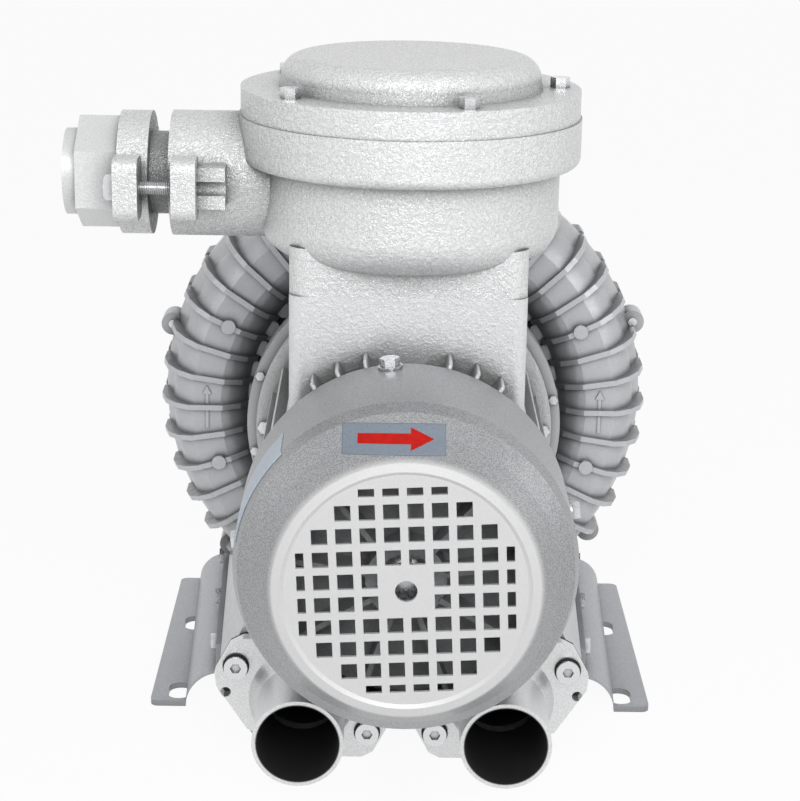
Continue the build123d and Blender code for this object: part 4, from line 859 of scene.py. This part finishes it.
class BLOWER_OT_studio(bpy.types.Operator):
    """Pale floor, soft lights, plain world and the camera."""
    bl_idname = "blower.studio"
    bl_label = "Studio"

    def execute(self, context):
        scene = context.scene
        studio = scene.blower_studio
        scene.view_settings.view_transform = "Standard"
        self.add_floor()
        self.add_world(scene, studio.ambient)
        self.add_lights(studio.key)
        self.add_camera(scene, studio)
        return {"FINISHED"}

    def add_floor(self):
        bpy.ops.mesh.primitive_plane_add(size=FLOOR_SIZE, location=(0, 0, FLOOR_DROP))
        floor = bpy.context.object
        floor.name = "studio_floor"
        tree, shader = new_finish("Studio floor")
        shader.inputs["Base Color"].default_value = FLOOR_COLOUR
        shader.inputs["Roughness"].default_value = FLOOR_ROUGH
        glow = node(tree, "ShaderNodeEmission")
        glow.inputs["Strength"].default_value = 1.0
        mix = node(tree, "ShaderNodeMixShader")
        wire(tree, maths(tree, "MULTIPLY", sees_background(tree), FLOOR_GLOW), mix.inputs[0])
        wire(tree, shader.outputs[0], mix.inputs[1])
        wire(tree, glow.outputs[0], mix.inputs[2])
        leave = next(n for n in tree.nodes if n.type == "OUTPUT_MATERIAL")
        wire(tree, mix.outputs[0], leave.inputs["Surface"])
        floor.data.materials.append(Kit.finishes["Studio floor"])

    def add_world(self, scene, strength):
        world = scene.world or bpy.data.worlds.new("Studio")
        scene.world = world
        world.use_nodes = True
        tree = world.node_tree
        tree.nodes.clear()
        back = node(tree, "ShaderNodeBackground")
        back.inputs["Color"].default_value = (1, 1, 1, 1)
        power = node(tree, "ShaderNodeMapRange")
        wire(tree, sees_background(tree), power.inputs["Value"])
        power.inputs["To Min"].default_value = strength
        power.inputs["To Max"].default_value = 1.0
        wire(tree, power.outputs["Result"], back.inputs["Strength"])
        leave = node(tree, "ShaderNodeOutputWorld")
        wire(tree, back.outputs[0], leave.inputs["Surface"])

    def add_lights(self, key):
        for name, place, size, share in LAMPS:
            light = bpy.data.lights.new(name, "AREA")
            light.energy = key * share
            light.size = size
            lamp = bpy.data.objects.new(name, light)
            bpy.context.scene.collection.objects.link(lamp)
            lamp.location = place
            aim = Vector(LAMP_AIM) - Vector(place)
            lamp.rotation_euler = aim.to_track_quat("-Z", "Y").to_euler()

    def add_camera(self, scene, studio):
        data = bpy.data.cameras.new("studio_camera")
        data.lens = studio.lens
        data.sensor_width = SENSOR_WIDTH
        camera = bpy.data.objects.new("studio_camera", data)
        scene.collection.objects.link(camera)
        forward = Vector((sin(studio.yaw) * cos(studio.pitch), cos(studio.yaw) * cos(studio.pitch),
                          -sin(studio.pitch)))
        level = Vector((cos(studio.yaw), -sin(studio.yaw), 0))
        above = level.cross(forward)
        right = level * cos(studio.roll) + above * sin(studio.roll)
        up = above * cos(studio.roll) - level * sin(studio.roll)
        turn = Matrix((right, up, -forward)).transposed()
        camera.matrix_world = Matrix.Translation(studio.place) @ turn.to_4x4()
        scene.camera = camera


class BLOWER_PT_panel(bpy.types.Panel):
    """Every step, in the 3D view's sidebar."""
    bl_idname = "BLOWER_PT_panel"
    bl_label = "Side Channel Blower"
    bl_space_type = "VIEW_3D"
    bl_region_type = "UI"
    bl_category = "Blower"

    def draw(self, context):
        for operator in STEPS:
            self.layout.operator(operator.bl_idname)


STEPS = (BLOWER_OT_studio, BLOWER_OT_finishes, BLOWER_OT_dress, BLOWER_OT_arrow, BLOWER_OT_label,
         BLOWER_OT_fins, BLOWER_OT_bolts)
SETTINGS = (BlowerFinish, BlowerTrim, BlowerStudio)


def register():
    for kind in SETTINGS + STEPS + (BLOWER_PT_panel,):
        bpy.utils.register_class(kind)
    bpy.types.Scene.blower_finish = PointerProperty(type=BlowerFinish)
    bpy.types.Scene.blower_trim = PointerProperty(type=BlowerTrim)
    bpy.types.Scene.blower_studio = PointerProperty(type=BlowerStudio)


def unregister():
    del bpy.types.Scene.blower_studio
    del bpy.types.Scene.blower_trim
    del bpy.types.Scene.blower_finish
    for kind in reversed(SETTINGS + STEPS + (BLOWER_PT_panel,)):
        bpy.utils.unregister_class(kind)


def main():
    register()
    bpy.ops.blower.studio()
    bpy.ops.blower.finishes()
    bpy.ops.blower.dress()
    bpy.ops.blower.arrow()
    bpy.ops.blower.label()
    bpy.ops.blower.fins()
    bpy.ops.blower.bolts()


if __name__ == "__main__":
    main()
